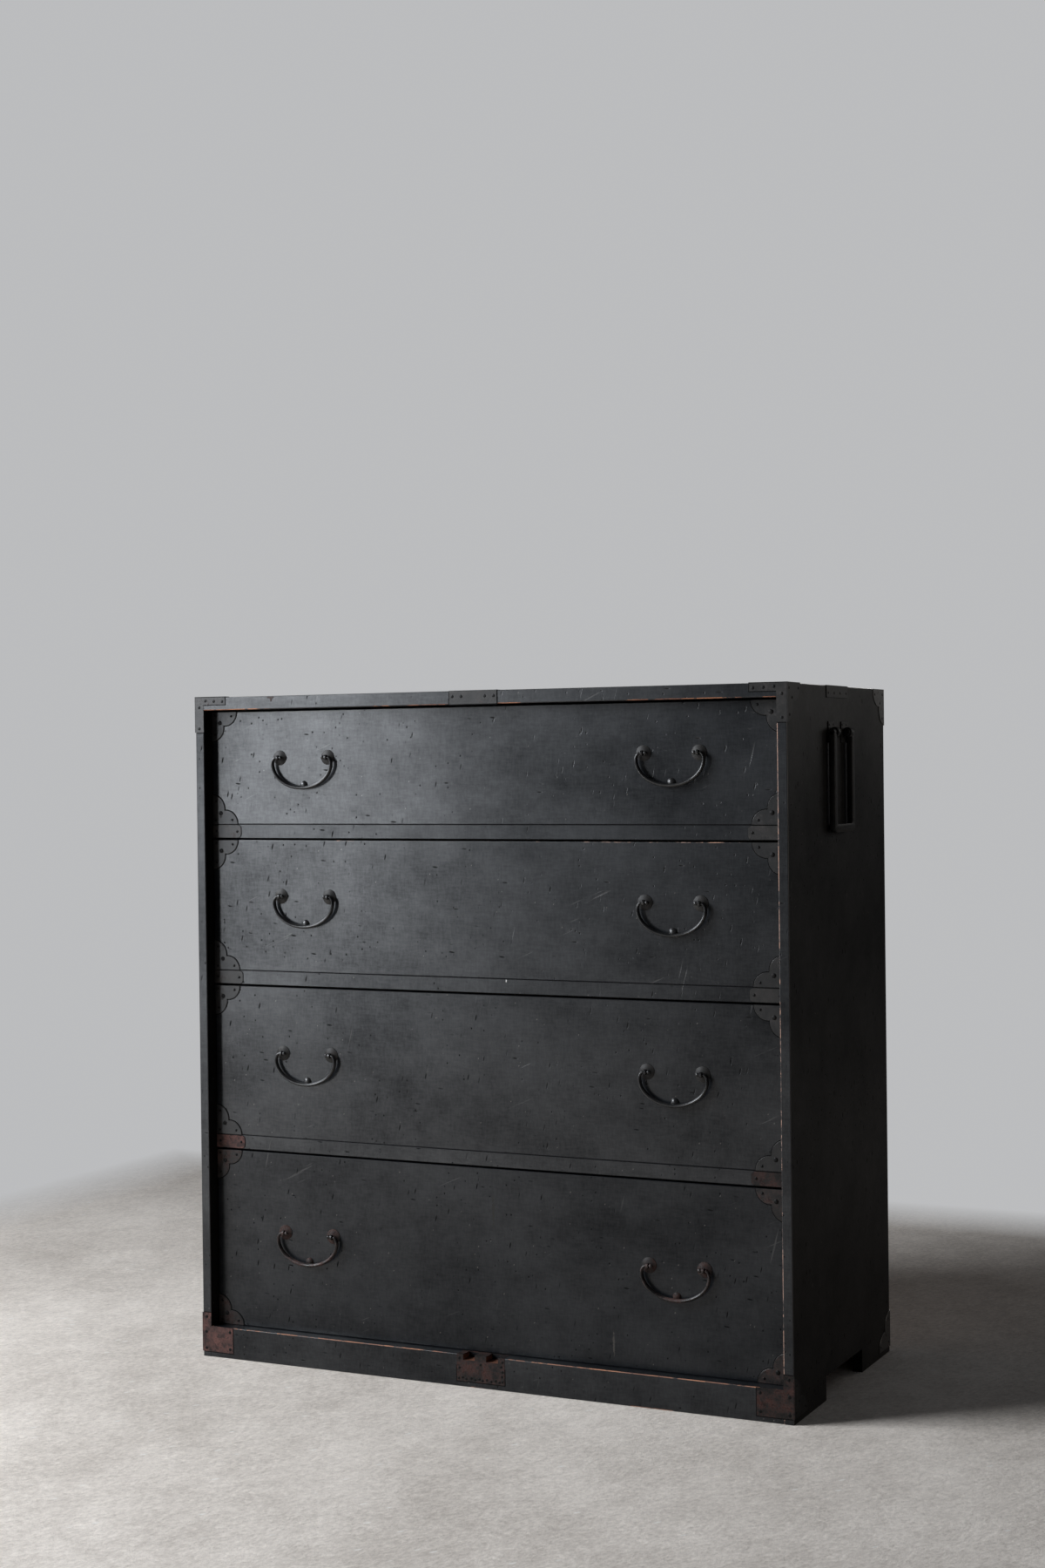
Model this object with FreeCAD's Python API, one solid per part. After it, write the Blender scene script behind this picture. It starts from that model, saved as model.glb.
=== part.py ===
"""Clothing chest: a black-lacquered case of four full-width drawers with forged iron fittings.

The origin is on the floor under the middle of the case. +X is to the right of someone facing
the drawers, +Y runs to the back and +Z is up. Everything is in millimetres.
"""
import FreeCAD, Part
import math
import os

# Case boards
case_width = 944.0
case_depth = 436.0
side_thickness = 14.5
top_thickness = 19.4
top_lap = 10.0
bottom_rail_height = 46.5
bottom_rail_depth = 40.0
bottom_board_thickness = 10.0
rear_rail_depth = 22.0
divider_height = 21.0
divider_depth = 34.0
shelf_thickness = 8.0
housing_depth = 5.0
back_thickness = 7.0
back_reach = 8.0
back_board_count = 4
back_board_lap = 6.0
front_recess = 22.0
foot_gap_width = 164.0
foot_gap_height = 34.0
board_arris = 0.8

# Drawers, named from the top one down
drawer_1_height = 170.0
drawer_2_height = 197.0
drawer_3_height = 226.0
drawer_4_height = 265.5
run_clearance = 0.3
head_gap = 2.6
side_gap = 0.8
rear_gap = 5.0
stop_gap = 0.3
drawer_front_thickness = 18.0
drawer_front_lip = 8.0
drawer_side_thickness = 9.0
drawer_back_thickness = 9.0
drawer_bottom_thickness = 6.0
drawer_side_drop = 3.0
corner_finger_count = 5
stop_width = 30.0
stop_height = 12.0

# Iron sheet on the case and the drawer fronts
iron_thickness = 1.0
drawer_plate_leg = 44.0
drawer_plate_lobe = 21.0
lobe_snip_count = 6
case_plate_leg = 54.0
case_plate_lobe = 26.0
case_plate_top_leg = 12.0
case_plate_foot_height = 20.0
plate_floor_gap = 8.0
divider_plate_length = 51.0
divider_plate_corner = 3.5
divider_plate_margin = 0.4
top_plate_width = 76.5
top_plate_flap = 16.0
lock_plate_width = 76.5
lock_plate_height = 38.5
lock_plate_flap = 21.5
socket_width = 19.0
socket_spacing = 37.0
socket_height = 8.0
socket_depth = 20.0
side_strap_width = 95.0
side_strap_drop = 17.0
side_strap_flap = 36.0

# Drawer handles
handle_offset = 295.5
handle_rise = 14.5
eye_spacing = 83.0
eye_standoff = 7.0
eye_hole_radius = 1.9
eye_wall = 2.0
eye_width = 4.0
eye_sides = 12
post_shank_width = 3.4
nail_clearance = 0.05
clinch_length = 12.0
clinch_thickness = 1.6
rosette_radius = 11.2
rosette_rim = 0.8
rosette_height = 3.0
rosette_sides = 12
striker_radius = 6.5
striker_sides = 12
striker_shank_width = 2.6
striker_shank_length = 12.0
striker_rise = 4.0
striker_gap = 0.2

# The forged bail of a drawer handle: its curve, then its section half way round
bail_half_span = 50.5
bail_shoulder_drop = 9.0
bail_drop = 45.0
bail_half_width = 2.5
bail_ridge_height = 3.0
bail_edge_height = 0.5
bail_back_depth = 3.0
bail_pin_radius = 1.5
bail_knob_radius = 2.9
bail_knob_length = 5.4
bail_knob_sides = 8
bail_play = 0.5
curl_station_count = 3
sweep_station_count = 11

# Carrying bails for a pole, one on each side
carrying_width = 92.0
carrying_length = 142.0
carrying_leg_width = 12.0
carrying_thickness = 9.0
carrying_standoff = 7.0
carrying_pivot_drop = 65.5
carrying_set_forward = 5.0
carrying_corner = 9.0
carrying_corner_facets = 3
carrying_arris = 1.5
carrying_pin_radius = 4.0
carrying_pin_clearance = 0.1
carrying_head_radius = 5.0
carrying_head_length = 3.0
carrying_head_sides = 8
carrying_end_sides = 12
carrying_play = 0.5
lug_width = 9.0
lug_wall = 3.0
lug_sides = 12
lug_plate_height = 30.0
lug_plate_width = 26.0
lug_plate_thickness = 1.5

# One overrun serves every cut, so that a tool always passes right through a face. Four points
# count as one flat face when the fourth is within the flatness of the plane of the others.
overrun = 1.0
flatness = 0.000001

# Levels and faces that follow from the sizes above
half_width = case_width / 2
half_depth = case_depth / 2
inner_half = half_width - side_thickness
front_face = -half_depth
back_face = half_depth
drawer_face = front_face + front_recess
drawer_half = inner_half - side_gap
drawer_rear = back_face - back_thickness - rear_gap
drawer_heights = (drawer_1_height, drawer_2_height, drawer_3_height, drawer_4_height)
handle_places = (("left", -handle_offset), ("right", handle_offset))


def drawer_floors():
    """Return the level that each drawer's bottom runs at, from the top drawer down."""
    level = bottom_rail_height
    floors = []
    for height in reversed(drawer_heights):
        floors.append(level + run_clearance)
        level += run_clearance + height + head_gap + divider_height
    return list(reversed(floors))


floors = drawer_floors()
divider_tops = [floor - run_clearance for floor in floors[:-1]]
top_underside = floors[0] + drawer_1_height + head_gap
case_height = top_underside + top_thickness
lap_level = case_height - top_lap
bottom_underside = bottom_rail_height - bottom_board_thickness
eye_levels = [floor + height / 2 + handle_rise for floor, height in zip(floors, drawer_heights)]


def vector(x, y, z):
    return FreeCAD.Vector(x, y, z)


def block(x0, x1, y0, y1, z0, z1):
    """A box between two corners, given in either order on X."""
    low_x = min(x0, x1)
    return Part.makeBox(abs(x1 - x0), y1 - y0, z1 - z0, vector(low_x, y0, z0))


def rod(start, direction, length, radius):
    return Part.makeCylinder(radius, length, start, direction)


def rounded_front(board, y, amount):
    """Plane off the four arrises round a board's front face."""
    edges = [e for e in board.Edges if all(abs(v.Y - y) < amount / 2 for v in e.Vertexes)]
    return board.makeChamfer(amount, edges)


def lobed_plate(corner, along, across, out, leg, lobe, thickness):
    """A corner plate of two round lobes, cut in short straight snips, that meet on the diagonal."""
    centre = leg - lobe
    cusp = (centre + math.sqrt(2 * lobe ** 2 - centre ** 2)) / 2
    full_angle = math.atan2(cusp, cusp - centre)
    first = []
    for index in range(lobe_snip_count):
        angle = full_angle * index / lobe_snip_count
        first.append((centre + lobe * math.cos(angle), lobe * math.sin(angle)))
    second = [(v, u) for u, v in reversed(first)]
    outline = [corner + along * u + across * v for u, v in [(0, 0)] + first + [(cusp, cusp)] + second]
    return flat_face(outline).extrude(out * thickness)


def side_board(sign):
    """A side of the case, housed for the boards it carries and notched to stand on two feet."""
    outer = sign * half_width
    inner = sign * inner_half
    housed = sign * (inner_half + housing_depth)
    mouth = sign * (inner_half - overrun)
    board = block(outer, inner, front_face, back_face, 0, lap_level)
    cuts = [block(sign * (half_width + overrun), mouth, -foot_gap_width / 2, foot_gap_width / 2, -overrun,
                  foot_gap_height)]
    rear_start = back_face - back_thickness
    cuts.append(block(mouth, housed, front_face + bottom_rail_depth, rear_start, bottom_underside,
                      bottom_rail_height))
    for top in divider_tops:
        cuts.append(block(mouth, housed, drawer_face, drawer_face + divider_depth, top - divider_height, top))
        cuts.append(block(mouth, housed, drawer_face + divider_depth - overrun, rear_start, top - shelf_thickness,
                          top))
    cuts.append(block(mouth, sign * (inner_half + back_reach), rear_start, back_face + overrun, -overrun,
                      lap_level + overrun))
    return board.cut(cuts)


def top_board():
    """The top, lapped over the sides and the back boards."""
    board = block(-half_width, half_width, front_face, back_face, top_underside, case_height)
    board = rounded_front(board, front_face, board_arris)
    low = top_underside - overrun
    cuts = []
    for sign in (-1, 1):
        cuts.append(block(sign * inner_half, sign * (half_width + overrun), front_face - overrun,
                          back_face + overrun, low, lap_level))
    cuts.append(block(-half_width - overrun, half_width + overrun, back_face - back_thickness,
                      back_face + overrun, low, lap_level))
    return board.cut(cuts)


def socket_centres():
    return (-socket_spacing / 2, socket_spacing / 2)


def socket_tools(front, depth):
    """Cutters for the two sockets that take the lower tongues of a lift-out cover."""
    return [block(x - socket_width / 2, x + socket_width / 2, front - overrun, front_face + depth,
                  bottom_rail_height - socket_height, bottom_rail_height + overrun) for x in socket_centres()]


def bottom_front_rail():
    rail = block(-inner_half, inner_half, front_face, front_face + bottom_rail_depth, 0, bottom_rail_height)
    cuts = socket_tools(front_face, socket_depth)
    cuts.append(block(-lock_plate_width / 2, lock_plate_width / 2, front_face - overrun,
                      front_face + lock_plate_flap, bottom_rail_height - iron_thickness,
                      bottom_rail_height + overrun))
    return rail.cut(cuts)


def bottom_rear_rail():
    rear = back_face - back_thickness
    return block(-inner_half, inner_half, rear - rear_rail_depth, rear, 0, bottom_underside)


def housed_board(y0, y1, top, thickness):
    """A board whose ends lie in the sides' housings."""
    end = inner_half + housing_depth
    return block(-end, end, y0, y1, top - thickness, top)


def bottom_board():
    return housed_board(front_face + bottom_rail_depth, back_face - back_thickness, bottom_rail_height,
                        bottom_board_thickness)


def divider_rails():
    return [housed_board(drawer_face, drawer_face + divider_depth, top, divider_height) for top in divider_tops]


def shelves():
    return [housed_board(drawer_face + divider_depth, back_face - back_thickness, top, shelf_thickness)
            for top in divider_tops]


def drawer_stops():
    """Two small blocks behind each drawer, which stop its front level with the divider rails."""
    front = drawer_rear + stop_gap
    depth = back_face - back_thickness - front
    centre = inner_half - stop_width
    stops = []
    for floor in floors:
        base = floor - run_clearance
        for sign in (-1, 1):
            x = sign * centre
            stops.append(block(x - stop_width / 2, x + stop_width / 2, front, front + depth, base,
                               base + stop_height))
    return stops


def back_boards():
    """Level boards that close the back, each half-lapped over the one below it."""
    end = inner_half + back_reach
    front = back_face - back_thickness
    middle = back_face - back_thickness / 2
    board_height = lap_level / back_board_count
    boards = []
    for index in range(back_board_count):
        low = index * board_height
        high = low + board_height
        outer_low = low - back_board_lap if index > 0 else low
        outer_high = high - back_board_lap if index < back_board_count - 1 else high
        outer = block(-end, end, middle, back_face, outer_low, outer_high)
        inner = block(-end, end, front, middle, low, high)
        boards.append(outer.fuse(inner).removeSplitter())
    return boards


def finger_cuts(x0, x1, y0, y1, z0, z1, odd):
    """Cutters for every second finger of a corner joint."""
    pitch = (z1 - z0) / corner_finger_count
    return [block(x0, x1, y0, y1, z0 + index * pitch, z0 + (index + 1) * pitch)
            for index in range(corner_finger_count) if index % 2 == odd]


def drawer_front(floor, height):
    """A drawer front with rabbets for the sides and the bottom, and holes for its handles."""
    front = block(-drawer_half, drawer_half, drawer_face, drawer_face + drawer_front_thickness, floor,
                  floor + height)
    front = rounded_front(front, drawer_face, board_arris)
    seat = drawer_face + drawer_front_lip
    rear = drawer_face + drawer_front_thickness + overrun
    bottom_top = floor + drawer_bottom_thickness
    cuts = [block(-drawer_half - overrun, drawer_half + overrun, seat, rear, floor - overrun, bottom_top)]
    for sign in (-1, 1):
        cuts.append(block(sign * (drawer_half - drawer_side_thickness), sign * (drawer_half + overrun), seat, rear,
                          bottom_top - overrun, floor + height - drawer_side_drop))
    eye_level = floor + height / 2 + handle_rise
    for x, z in eye_places(eye_level):
        cuts.append(square_bar(x, z, post_shank_width + 2 * nail_clearance, drawer_face - overrun, rear))
    for x, z in striker_places(eye_level):
        cuts.append(square_bar(x, z, striker_shank_width + 2 * nail_clearance, drawer_face - overrun,
                               drawer_face + striker_shank_length))
    return front.cut(cuts)


def drawer_sides(floor, height):
    """Both sides of a drawer, fingered at the rear corners."""
    low = floor + drawer_bottom_thickness
    high = floor + height - drawer_side_drop
    seat = drawer_face + drawer_front_lip
    sides = []
    for sign in (-1, 1):
        outer = sign * drawer_half
        inner = sign * (drawer_half - drawer_side_thickness)
        side = block(outer, inner, seat, drawer_rear, low, high)
        sides.append(side.cut(finger_cuts(sign * (drawer_half + overrun), inner - sign * overrun,
                                          drawer_rear - drawer_back_thickness, drawer_rear + overrun, low, high, 1)))
    return sides


def drawer_back(floor, height):
    low = floor + drawer_bottom_thickness
    high = floor + height - drawer_side_drop
    front = drawer_rear - drawer_back_thickness
    back = block(-drawer_half, drawer_half, front, drawer_rear, low, high)
    cuts = []
    for sign in (-1, 1):
        cuts += finger_cuts(sign * (drawer_half - drawer_side_thickness), sign * (drawer_half + overrun),
                            front - overrun, drawer_rear + overrun, low, high, 0)
    return back.cut(cuts)


def drawer_bottom(floor):
    return block(-drawer_half, drawer_half, drawer_face + drawer_front_lip, drawer_rear, floor,
                 floor + drawer_bottom_thickness)


def drawer_corner_plates(floor, height):
    plates = []
    for side_sign in (-1, 1):
        for level, up in ((floor, 1), (floor + height, -1)):
            corner = vector(side_sign * drawer_half, drawer_face, level)
            plates.append(lobed_plate(corner, vector(-side_sign, 0, 0), vector(0, 0, up), vector(0, -1, 0),
                                      drawer_plate_leg, drawer_plate_lobe, iron_thickness))
    return plates


def flat_face(points):
    return Part.Face(Part.makePolygon(points + points[:1]))


def flat_facets(a, b, c, d):
    """The face between four points, or two triangles where the four don't lie in one plane."""
    normal = (b - a).cross(c - a)
    if abs(normal.dot(d - a)) < flatness * normal.Length:
        return [flat_face([a, b, c, d])]
    return [flat_face([a, b, c]), flat_face([a, c, d])]


def forged(rings):
    """A solid of flat facets that runs through rings of points, as hammered iron does."""
    faces = [flat_face(rings[0]), flat_face(rings[-1])]
    for near, far in zip(rings, rings[1:]):
        for index in range(len(near)):
            following = (index + 1) % len(near)
            faces += flat_facets(near[index], near[following], far[following], far[index])
    solid = Part.makeSolid(Part.makeShell(faces))
    if solid.Volume < 0:
        solid.reverse()
    return solid


def facetted(start, axis, stations, sides):
    """Forged roundwork: regular polygons of given radii, at distances along a level axis."""
    up = vector(0, 0, 1)
    across = axis.cross(up)
    rings = []
    for distance, radius in stations:
        ring = []
        for index in range(sides):
            angle = 2 * math.pi * index / sides
            offset = across * (radius * math.cos(angle)) + up * (radius * math.sin(angle))
            ring.append(start + axis * distance + offset)
        rings.append(ring)
    return forged(rings)


# Rings of a hammered dome, as shares of the way from its rim to its crown
dome_ring_shares = (0, 0.6)


def dome(x, z, radius, rim, height, sides):
    """A hammered dome on a drawer front: a thin rim, then facets that follow a sphere."""
    rise = height - rim
    curve_radius = (radius ** 2 + rise ** 2) / (2 * rise)
    full_angle = math.asin(radius / curve_radius)
    stations = [(0, radius)]
    for share in dome_ring_shares:
        angle = full_angle * (1 - share)
        stations.append((height - curve_radius * (1 - math.cos(angle)), curve_radius * math.sin(angle)))
    return facetted(vector(x, drawer_face, z), vector(0, -1, 0), stations, sides)


def square_bar(x, z, width, y0, y1):
    """A square shank, or the hole for one, running from front to back."""
    half = width / 2
    return block(x - half, x + half, y0, y1, z - half, z + half)


def eye_places(eye_level):
    return [(x + sign * eye_spacing / 2, eye_level) for _, x in handle_places for sign in (-1, 1)]


def striker_places(eye_level):
    return [(x, eye_level - bail_drop + striker_rise) for _, x in handle_places]


def rosettes(eye_level):
    discs = []
    for x, z in eye_places(eye_level):
        disc = dome(x, z, rosette_radius, rosette_rim, rosette_height, rosette_sides)
        discs.append(disc.cut(square_bar(x, z, post_shank_width + 2 * nail_clearance,
                                         drawer_face - rosette_height - overrun, drawer_face + overrun)))
    return discs


def eye_post(x, z):
    """An iron eye on a square shank that is driven through the drawer front and clinched inside."""
    centre_y = drawer_face - eye_standoff
    outer = eye_hole_radius + eye_wall
    start = vector(x - eye_width / 2, centre_y, z)
    along = vector(1, 0, 0)
    eye = facetted(start, along, ((0, outer), (eye_width, outer)), eye_sides)
    inside = drawer_face + drawer_front_thickness
    shank = square_bar(x, z, post_shank_width, centre_y + eye_hole_radius + eye_wall / 2, inside + clinch_thickness)
    half = post_shank_width / 2
    clinch = block(x - half, x + half, inside, inside + clinch_thickness, z - clinch_length, z + clinch_length)
    hole = rod(start - along * overrun, along, eye_width + 2 * overrun, eye_hole_radius)
    return eye.fuse([shank, clinch]).cut(hole).removeSplitter()


def posts(eye_level):
    return [eye_post(x, z) for x, z in eye_places(eye_level)]


def strikers(eye_level):
    """The studs that a hanging bail rests on. Their height follows from where the bail's back hangs."""
    height = eye_standoff - bail_back_depth - striker_gap
    studs = []
    for x, z in striker_places(eye_level):
        head = dome(x, z, striker_radius, rosette_rim, height, striker_sides)
        shank = square_bar(x, z, striker_shank_width, drawer_face - rosette_rim, drawer_face + striker_shank_length)
        studs.append(head.fuse(shank))
    return studs


# The bail tapers from its shoulders to its ends, by these shares of its full section.
bail_tip_share = 0.72
bail_shoulder_share = 1.06


def bail_stations():
    """Places, headings and section shares along a bail, from its left eye round to its right one.

    Each end curls over in a quarter ellipse from its eye to the shoulder, and the belly between
    the shoulders is half an ellipse.
    """
    tip = eye_spacing / 2 + eye_width / 2 + bail_play
    reach = bail_half_span - tip
    belly = bail_drop - bail_shoulder_drop
    right = []
    for index in range(curl_station_count):
        way = index / curl_station_count
        angle = math.pi / 2 * way
        x = tip + reach * math.sin(angle)
        z = bail_shoulder_drop * (math.cos(angle) - 1)
        heading = math.atan2(-bail_shoulder_drop * math.sin(angle), reach * math.cos(angle))
        right.append((x, z, heading, bail_tip_share + (bail_shoulder_share - bail_tip_share) * way))
    half_count = sweep_station_count // 2
    for index in range(half_count + 1):
        way = index / half_count
        angle = math.pi / 2 * way
        x = bail_half_span * math.cos(angle)
        z = -bail_shoulder_drop - belly * math.sin(angle)
        heading = math.atan2(-belly * math.cos(angle), -bail_half_span * math.sin(angle))
        right.append((x, z, heading, bail_shoulder_share + (1 - bail_shoulder_share) * way))
    left = [(-x, z, math.pi - heading, size) for x, z, heading, size in right[:-1]]
    forward = [(x, z, heading + math.pi, size) for x, z, heading, size in reversed(right)]
    return left + forward


def bail_section(origin, heading, size):
    """One section of the bail, square to its heading: a ridge in front, two edges and a flat back."""
    outward = vector(math.sin(heading), 0, -math.cos(heading))
    forward = vector(0, -1, 0)
    corners = (
        (0, bail_ridge_height),
        (bail_half_width, bail_edge_height),
        (bail_half_width, -bail_back_depth),
        (-bail_half_width, -bail_back_depth),
        (-bail_half_width, bail_edge_height),
    )
    return [origin + outward * (u * size) + forward * (v * size) for u, v in corners]


# A knob's outline, as shares of its length and its radius
knob_outline_shares = ((0, 0.62), (0.25, 1), (0.75, 1), (1, 0.62))


def drawer_bail(x, eye_level):
    """A forged bail: a ridged tapering bow whose ends pass through the eyes to small knobs."""
    hub = vector(x, drawer_face - eye_standoff, eye_level)
    sections = [bail_section(hub + vector(dx, 0, dz), heading, size)
                for dx, dz, heading, size in bail_stations()]
    bow = forged(sections)
    knob_start = eye_spacing / 2 - eye_width / 2 - bail_play
    tip = eye_spacing / 2 + eye_width / 2 + bail_play
    knob_stations = [(along * bail_knob_length, radius * bail_knob_radius) for along, radius in knob_outline_shares]
    extras = []
    for sign in (-1, 1):
        side = vector(sign, 0, 0)
        extras.append(facetted(hub + side * knob_start, -side, knob_stations, bail_knob_sides))
        extras.append(rod(hub + side * knob_start, side, tip - knob_start, bail_pin_radius))
    return bow.fuse(extras)


def folded_front_plate(sign, top):
    """A corner plate folded round a front corner of the case: front, side and, at the top, the top."""
    outer = sign * (half_width + iron_thickness)
    skin_front = front_face - iron_thickness
    along_side = vector(0, 1, 0)
    out = vector(sign, 0, 0)
    tip = sign * (half_width + iron_thickness - case_plate_leg)
    if top:
        level = case_height + iron_thickness
        flap_down = vector(0, 0, -1)
        strip = (case_height + iron_thickness - case_plate_top_leg, level)
        leg = (level - case_plate_leg, level)
    else:
        level = plate_floor_gap
        flap_down = vector(0, 0, 1)
        strip = (plate_floor_gap, bottom_rail_height)
        leg = (plate_floor_gap, bottom_rail_height + case_plate_foot_height)
    flap = lobed_plate(vector(sign * half_width, skin_front, level), along_side, flap_down, out,
                       case_plate_leg, case_plate_lobe, iron_thickness)
    pieces = [
        block(tip, outer, skin_front, front_face, strip[0], strip[1]),
        block(sign * inner_half, outer, skin_front, front_face, leg[0], leg[1]),
    ]
    if top:
        pieces.append(block(tip, outer, skin_front, front_face + case_plate_top_leg, case_height, level))
    return flap.fuse(pieces).removeSplitter()


def front_corner_plates():
    return [folded_front_plate(sign, top) for sign in (-1, 1) for top in (True, False)]


def rear_corner_plates():
    """Lobed plates folded round the rear corners, one flap on the side and one on the back."""
    plates = []
    skin_back = back_face + iron_thickness
    for sign in (-1, 1):
        for level, up in ((case_height, -1), (plate_floor_gap, 1)):
            side_flap = lobed_plate(vector(sign * half_width, skin_back, level), vector(0, -1, 0), vector(0, 0, up),
                                    vector(sign, 0, 0), case_plate_leg, case_plate_lobe, iron_thickness)
            back_corner = vector(sign * (half_width + iron_thickness), back_face, level)
            back_flap = lobed_plate(back_corner, vector(-sign, 0, 0), vector(0, 0, up), vector(0, 1, 0),
                                    case_plate_leg, case_plate_lobe, iron_thickness)
            plates.append(side_flap.fuse(back_flap).removeSplitter())
    return plates


def divider_end_plates():
    """Small plates on the ends of each divider rail, with the free corners clipped off."""
    plates = []
    for top in divider_tops:
        for sign in (-1, 1):
            plate = block(sign * inner_half, sign * (inner_half - divider_plate_length),
                          drawer_face - iron_thickness, drawer_face, top - divider_height + divider_plate_margin,
                          top - divider_plate_margin)
            free = sign * (inner_half - divider_plate_length)
            edges = [e for e in plate.Edges
                     if all(abs(v.X - free) < overrun for v in e.Vertexes)
                     and abs(e.Vertexes[0].Y - e.Vertexes[-1].Y) > iron_thickness / 2]
            plates.append(plate.makeChamfer(divider_plate_corner, edges))
    return plates


def top_front_plate():
    half = top_plate_width / 2
    skin_front = front_face - iron_thickness
    skin_top = case_height + iron_thickness
    face = block(-half, half, skin_front, front_face, top_underside, skin_top)
    flap = block(-half, half, skin_front, front_face + top_plate_flap, case_height, skin_top)
    return face.fuse(flap).removeSplitter()


def lock_plate():
    """The plate round the cover's sockets, folded back over the ledge and let in flush there."""
    half = lock_plate_width / 2
    skin_front = front_face - iron_thickness
    face = block(-half, half, skin_front, front_face, bottom_rail_height - lock_plate_height, bottom_rail_height)
    flap = block(-half, half, skin_front, front_face + lock_plate_flap, bottom_rail_height - iron_thickness,
                 bottom_rail_height)
    return face.fuse(flap).removeSplitter().cut(socket_tools(skin_front, socket_depth))


def carrying_axis(sign):
    return vector(sign * (half_width + carrying_standoff), -carrying_set_forward,
                  case_height - carrying_pivot_drop)


def side_straps():
    """Straps folded over the top edges, where a raised carrying bail bears."""
    straps = []
    for sign in (-1, 1):
        y0 = -carrying_set_forward - side_strap_width / 2
        y1 = y0 + side_strap_width
        outer = sign * (half_width + iron_thickness)
        drop = block(sign * half_width, outer, y0, y1, case_height - side_strap_drop, case_height + iron_thickness)
        flap = block(sign * (half_width - side_strap_flap), outer, y0, y1, case_height,
                     case_height + iron_thickness)
        straps.append(drop.fuse(flap).removeSplitter())
    return straps


def lug_centres():
    """Distances of the two lugs from the middle of a carrying bail, inside its legs."""
    inner = carrying_width / 2 - carrying_leg_width
    centre = inner - carrying_play - lug_width / 2
    return (-centre, centre)


def carrying_lugs():
    """Nailed lugs on the sides, whose eyes hold the pins of the carrying bails."""
    lugs = []
    hole_radius = carrying_pin_radius + carrying_pin_clearance
    along = vector(0, 1, 0)
    for sign in (-1, 1):
        axis = carrying_axis(sign)
        for offset in lug_centres():
            y0 = axis.y + offset - lug_width / 2
            start = vector(axis.x, y0, axis.z)
            outer = hole_radius + lug_wall
            eye = facetted(start, along, ((0, outer), (lug_width, outer)), lug_sides)
            root = block(sign * half_width, axis.x, y0, y0 + lug_width, axis.z - outer, axis.z + outer)
            plate_y = axis.y + offset - lug_plate_width / 2
            plate = block(sign * half_width, sign * (half_width + lug_plate_thickness), plate_y,
                          plate_y + lug_plate_width, axis.z - lug_plate_height / 2, axis.z + lug_plate_height / 2)
            hole = rod(start - along * overrun, along, lug_width + 2 * overrun, hole_radius)
            beyond = block(sign * half_width, sign * (half_width - lug_plate_width), y0 - overrun,
                           y0 + lug_width + overrun, axis.z - lug_plate_height, axis.z + lug_plate_height)
            lugs.append(eye.fuse([root, plate]).cut([hole, beyond]))
    return lugs


def carrying_bail(sign):
    """A heavy iron loop that hangs on its lugs and swings up over the top to take a pole."""
    axis = carrying_axis(sign)
    x0 = axis.x - carrying_thickness / 2
    half = carrying_width / 2
    low = axis.z - carrying_length
    outline = [vector(x0, axis.y - half, axis.z)]
    for side in (-1, 1):
        centre_y = axis.y + side * (half - carrying_corner)
        for index in range(carrying_corner_facets + 1):
            turn = math.pi / 2 * index / carrying_corner_facets
            angle = math.pi + turn if side < 0 else 3 * math.pi / 2 + turn
            outline.append(vector(x0, centre_y + carrying_corner * math.cos(angle),
                                  low + carrying_corner * (1 + math.sin(angle))))
    outline.append(vector(x0, axis.y + half, axis.z))
    outer = flat_face(outline).extrude(vector(carrying_thickness, 0, 0))
    arrises = [e for e in outer.Edges if any(v.Z < axis.z - overrun for v in e.Vertexes)
               and abs(e.Vertexes[0].X - e.Vertexes[-1].X) < overrun]
    outer = outer.makeChamfer(carrying_arris, arrises)
    window = block(x0 - overrun, x0 + carrying_thickness + overrun, axis.y - half + carrying_leg_width,
                   axis.y + half - carrying_leg_width, low + carrying_leg_width, axis.z + overrun)
    pieces = []
    along = vector(0, 1, 0)
    pin_length = carrying_play + lug_width + carrying_play
    for side in (-1, 1):
        leg_outer = axis.y + side * half
        leg_inner = leg_outer - side * carrying_leg_width
        pieces.append(facetted(vector(axis.x, leg_outer, axis.z), along * -side,
                               ((0, carrying_thickness / 2), (carrying_leg_width, carrying_thickness / 2)),
                               carrying_end_sides))
        pieces.append(rod(vector(axis.x, leg_inner, axis.z), along * -side, pin_length, carrying_pin_radius))
        pieces.append(facetted(vector(axis.x, leg_inner - side * pin_length, axis.z), along * -side,
                               ((0, carrying_head_radius), (carrying_head_length, carrying_head_radius)),
                               carrying_head_sides))
    return outer.cut(window).fuse(pieces)


def write(name, shapes):
    """Write one named piece, or a group of like pieces, as a STEP file."""
    solids = []
    for shape in shapes:
        solids += shape.Solids
    for solid in solids:
        if not solid.isValid() or solid.Volume <= 0:
            raise ValueError(name + " has a bad solid")
    shape = solids[0] if len(solids) == 1 else Part.makeCompound(solids)
    shape.exportStep(os.path.join("parts", name + ".step"))


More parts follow.
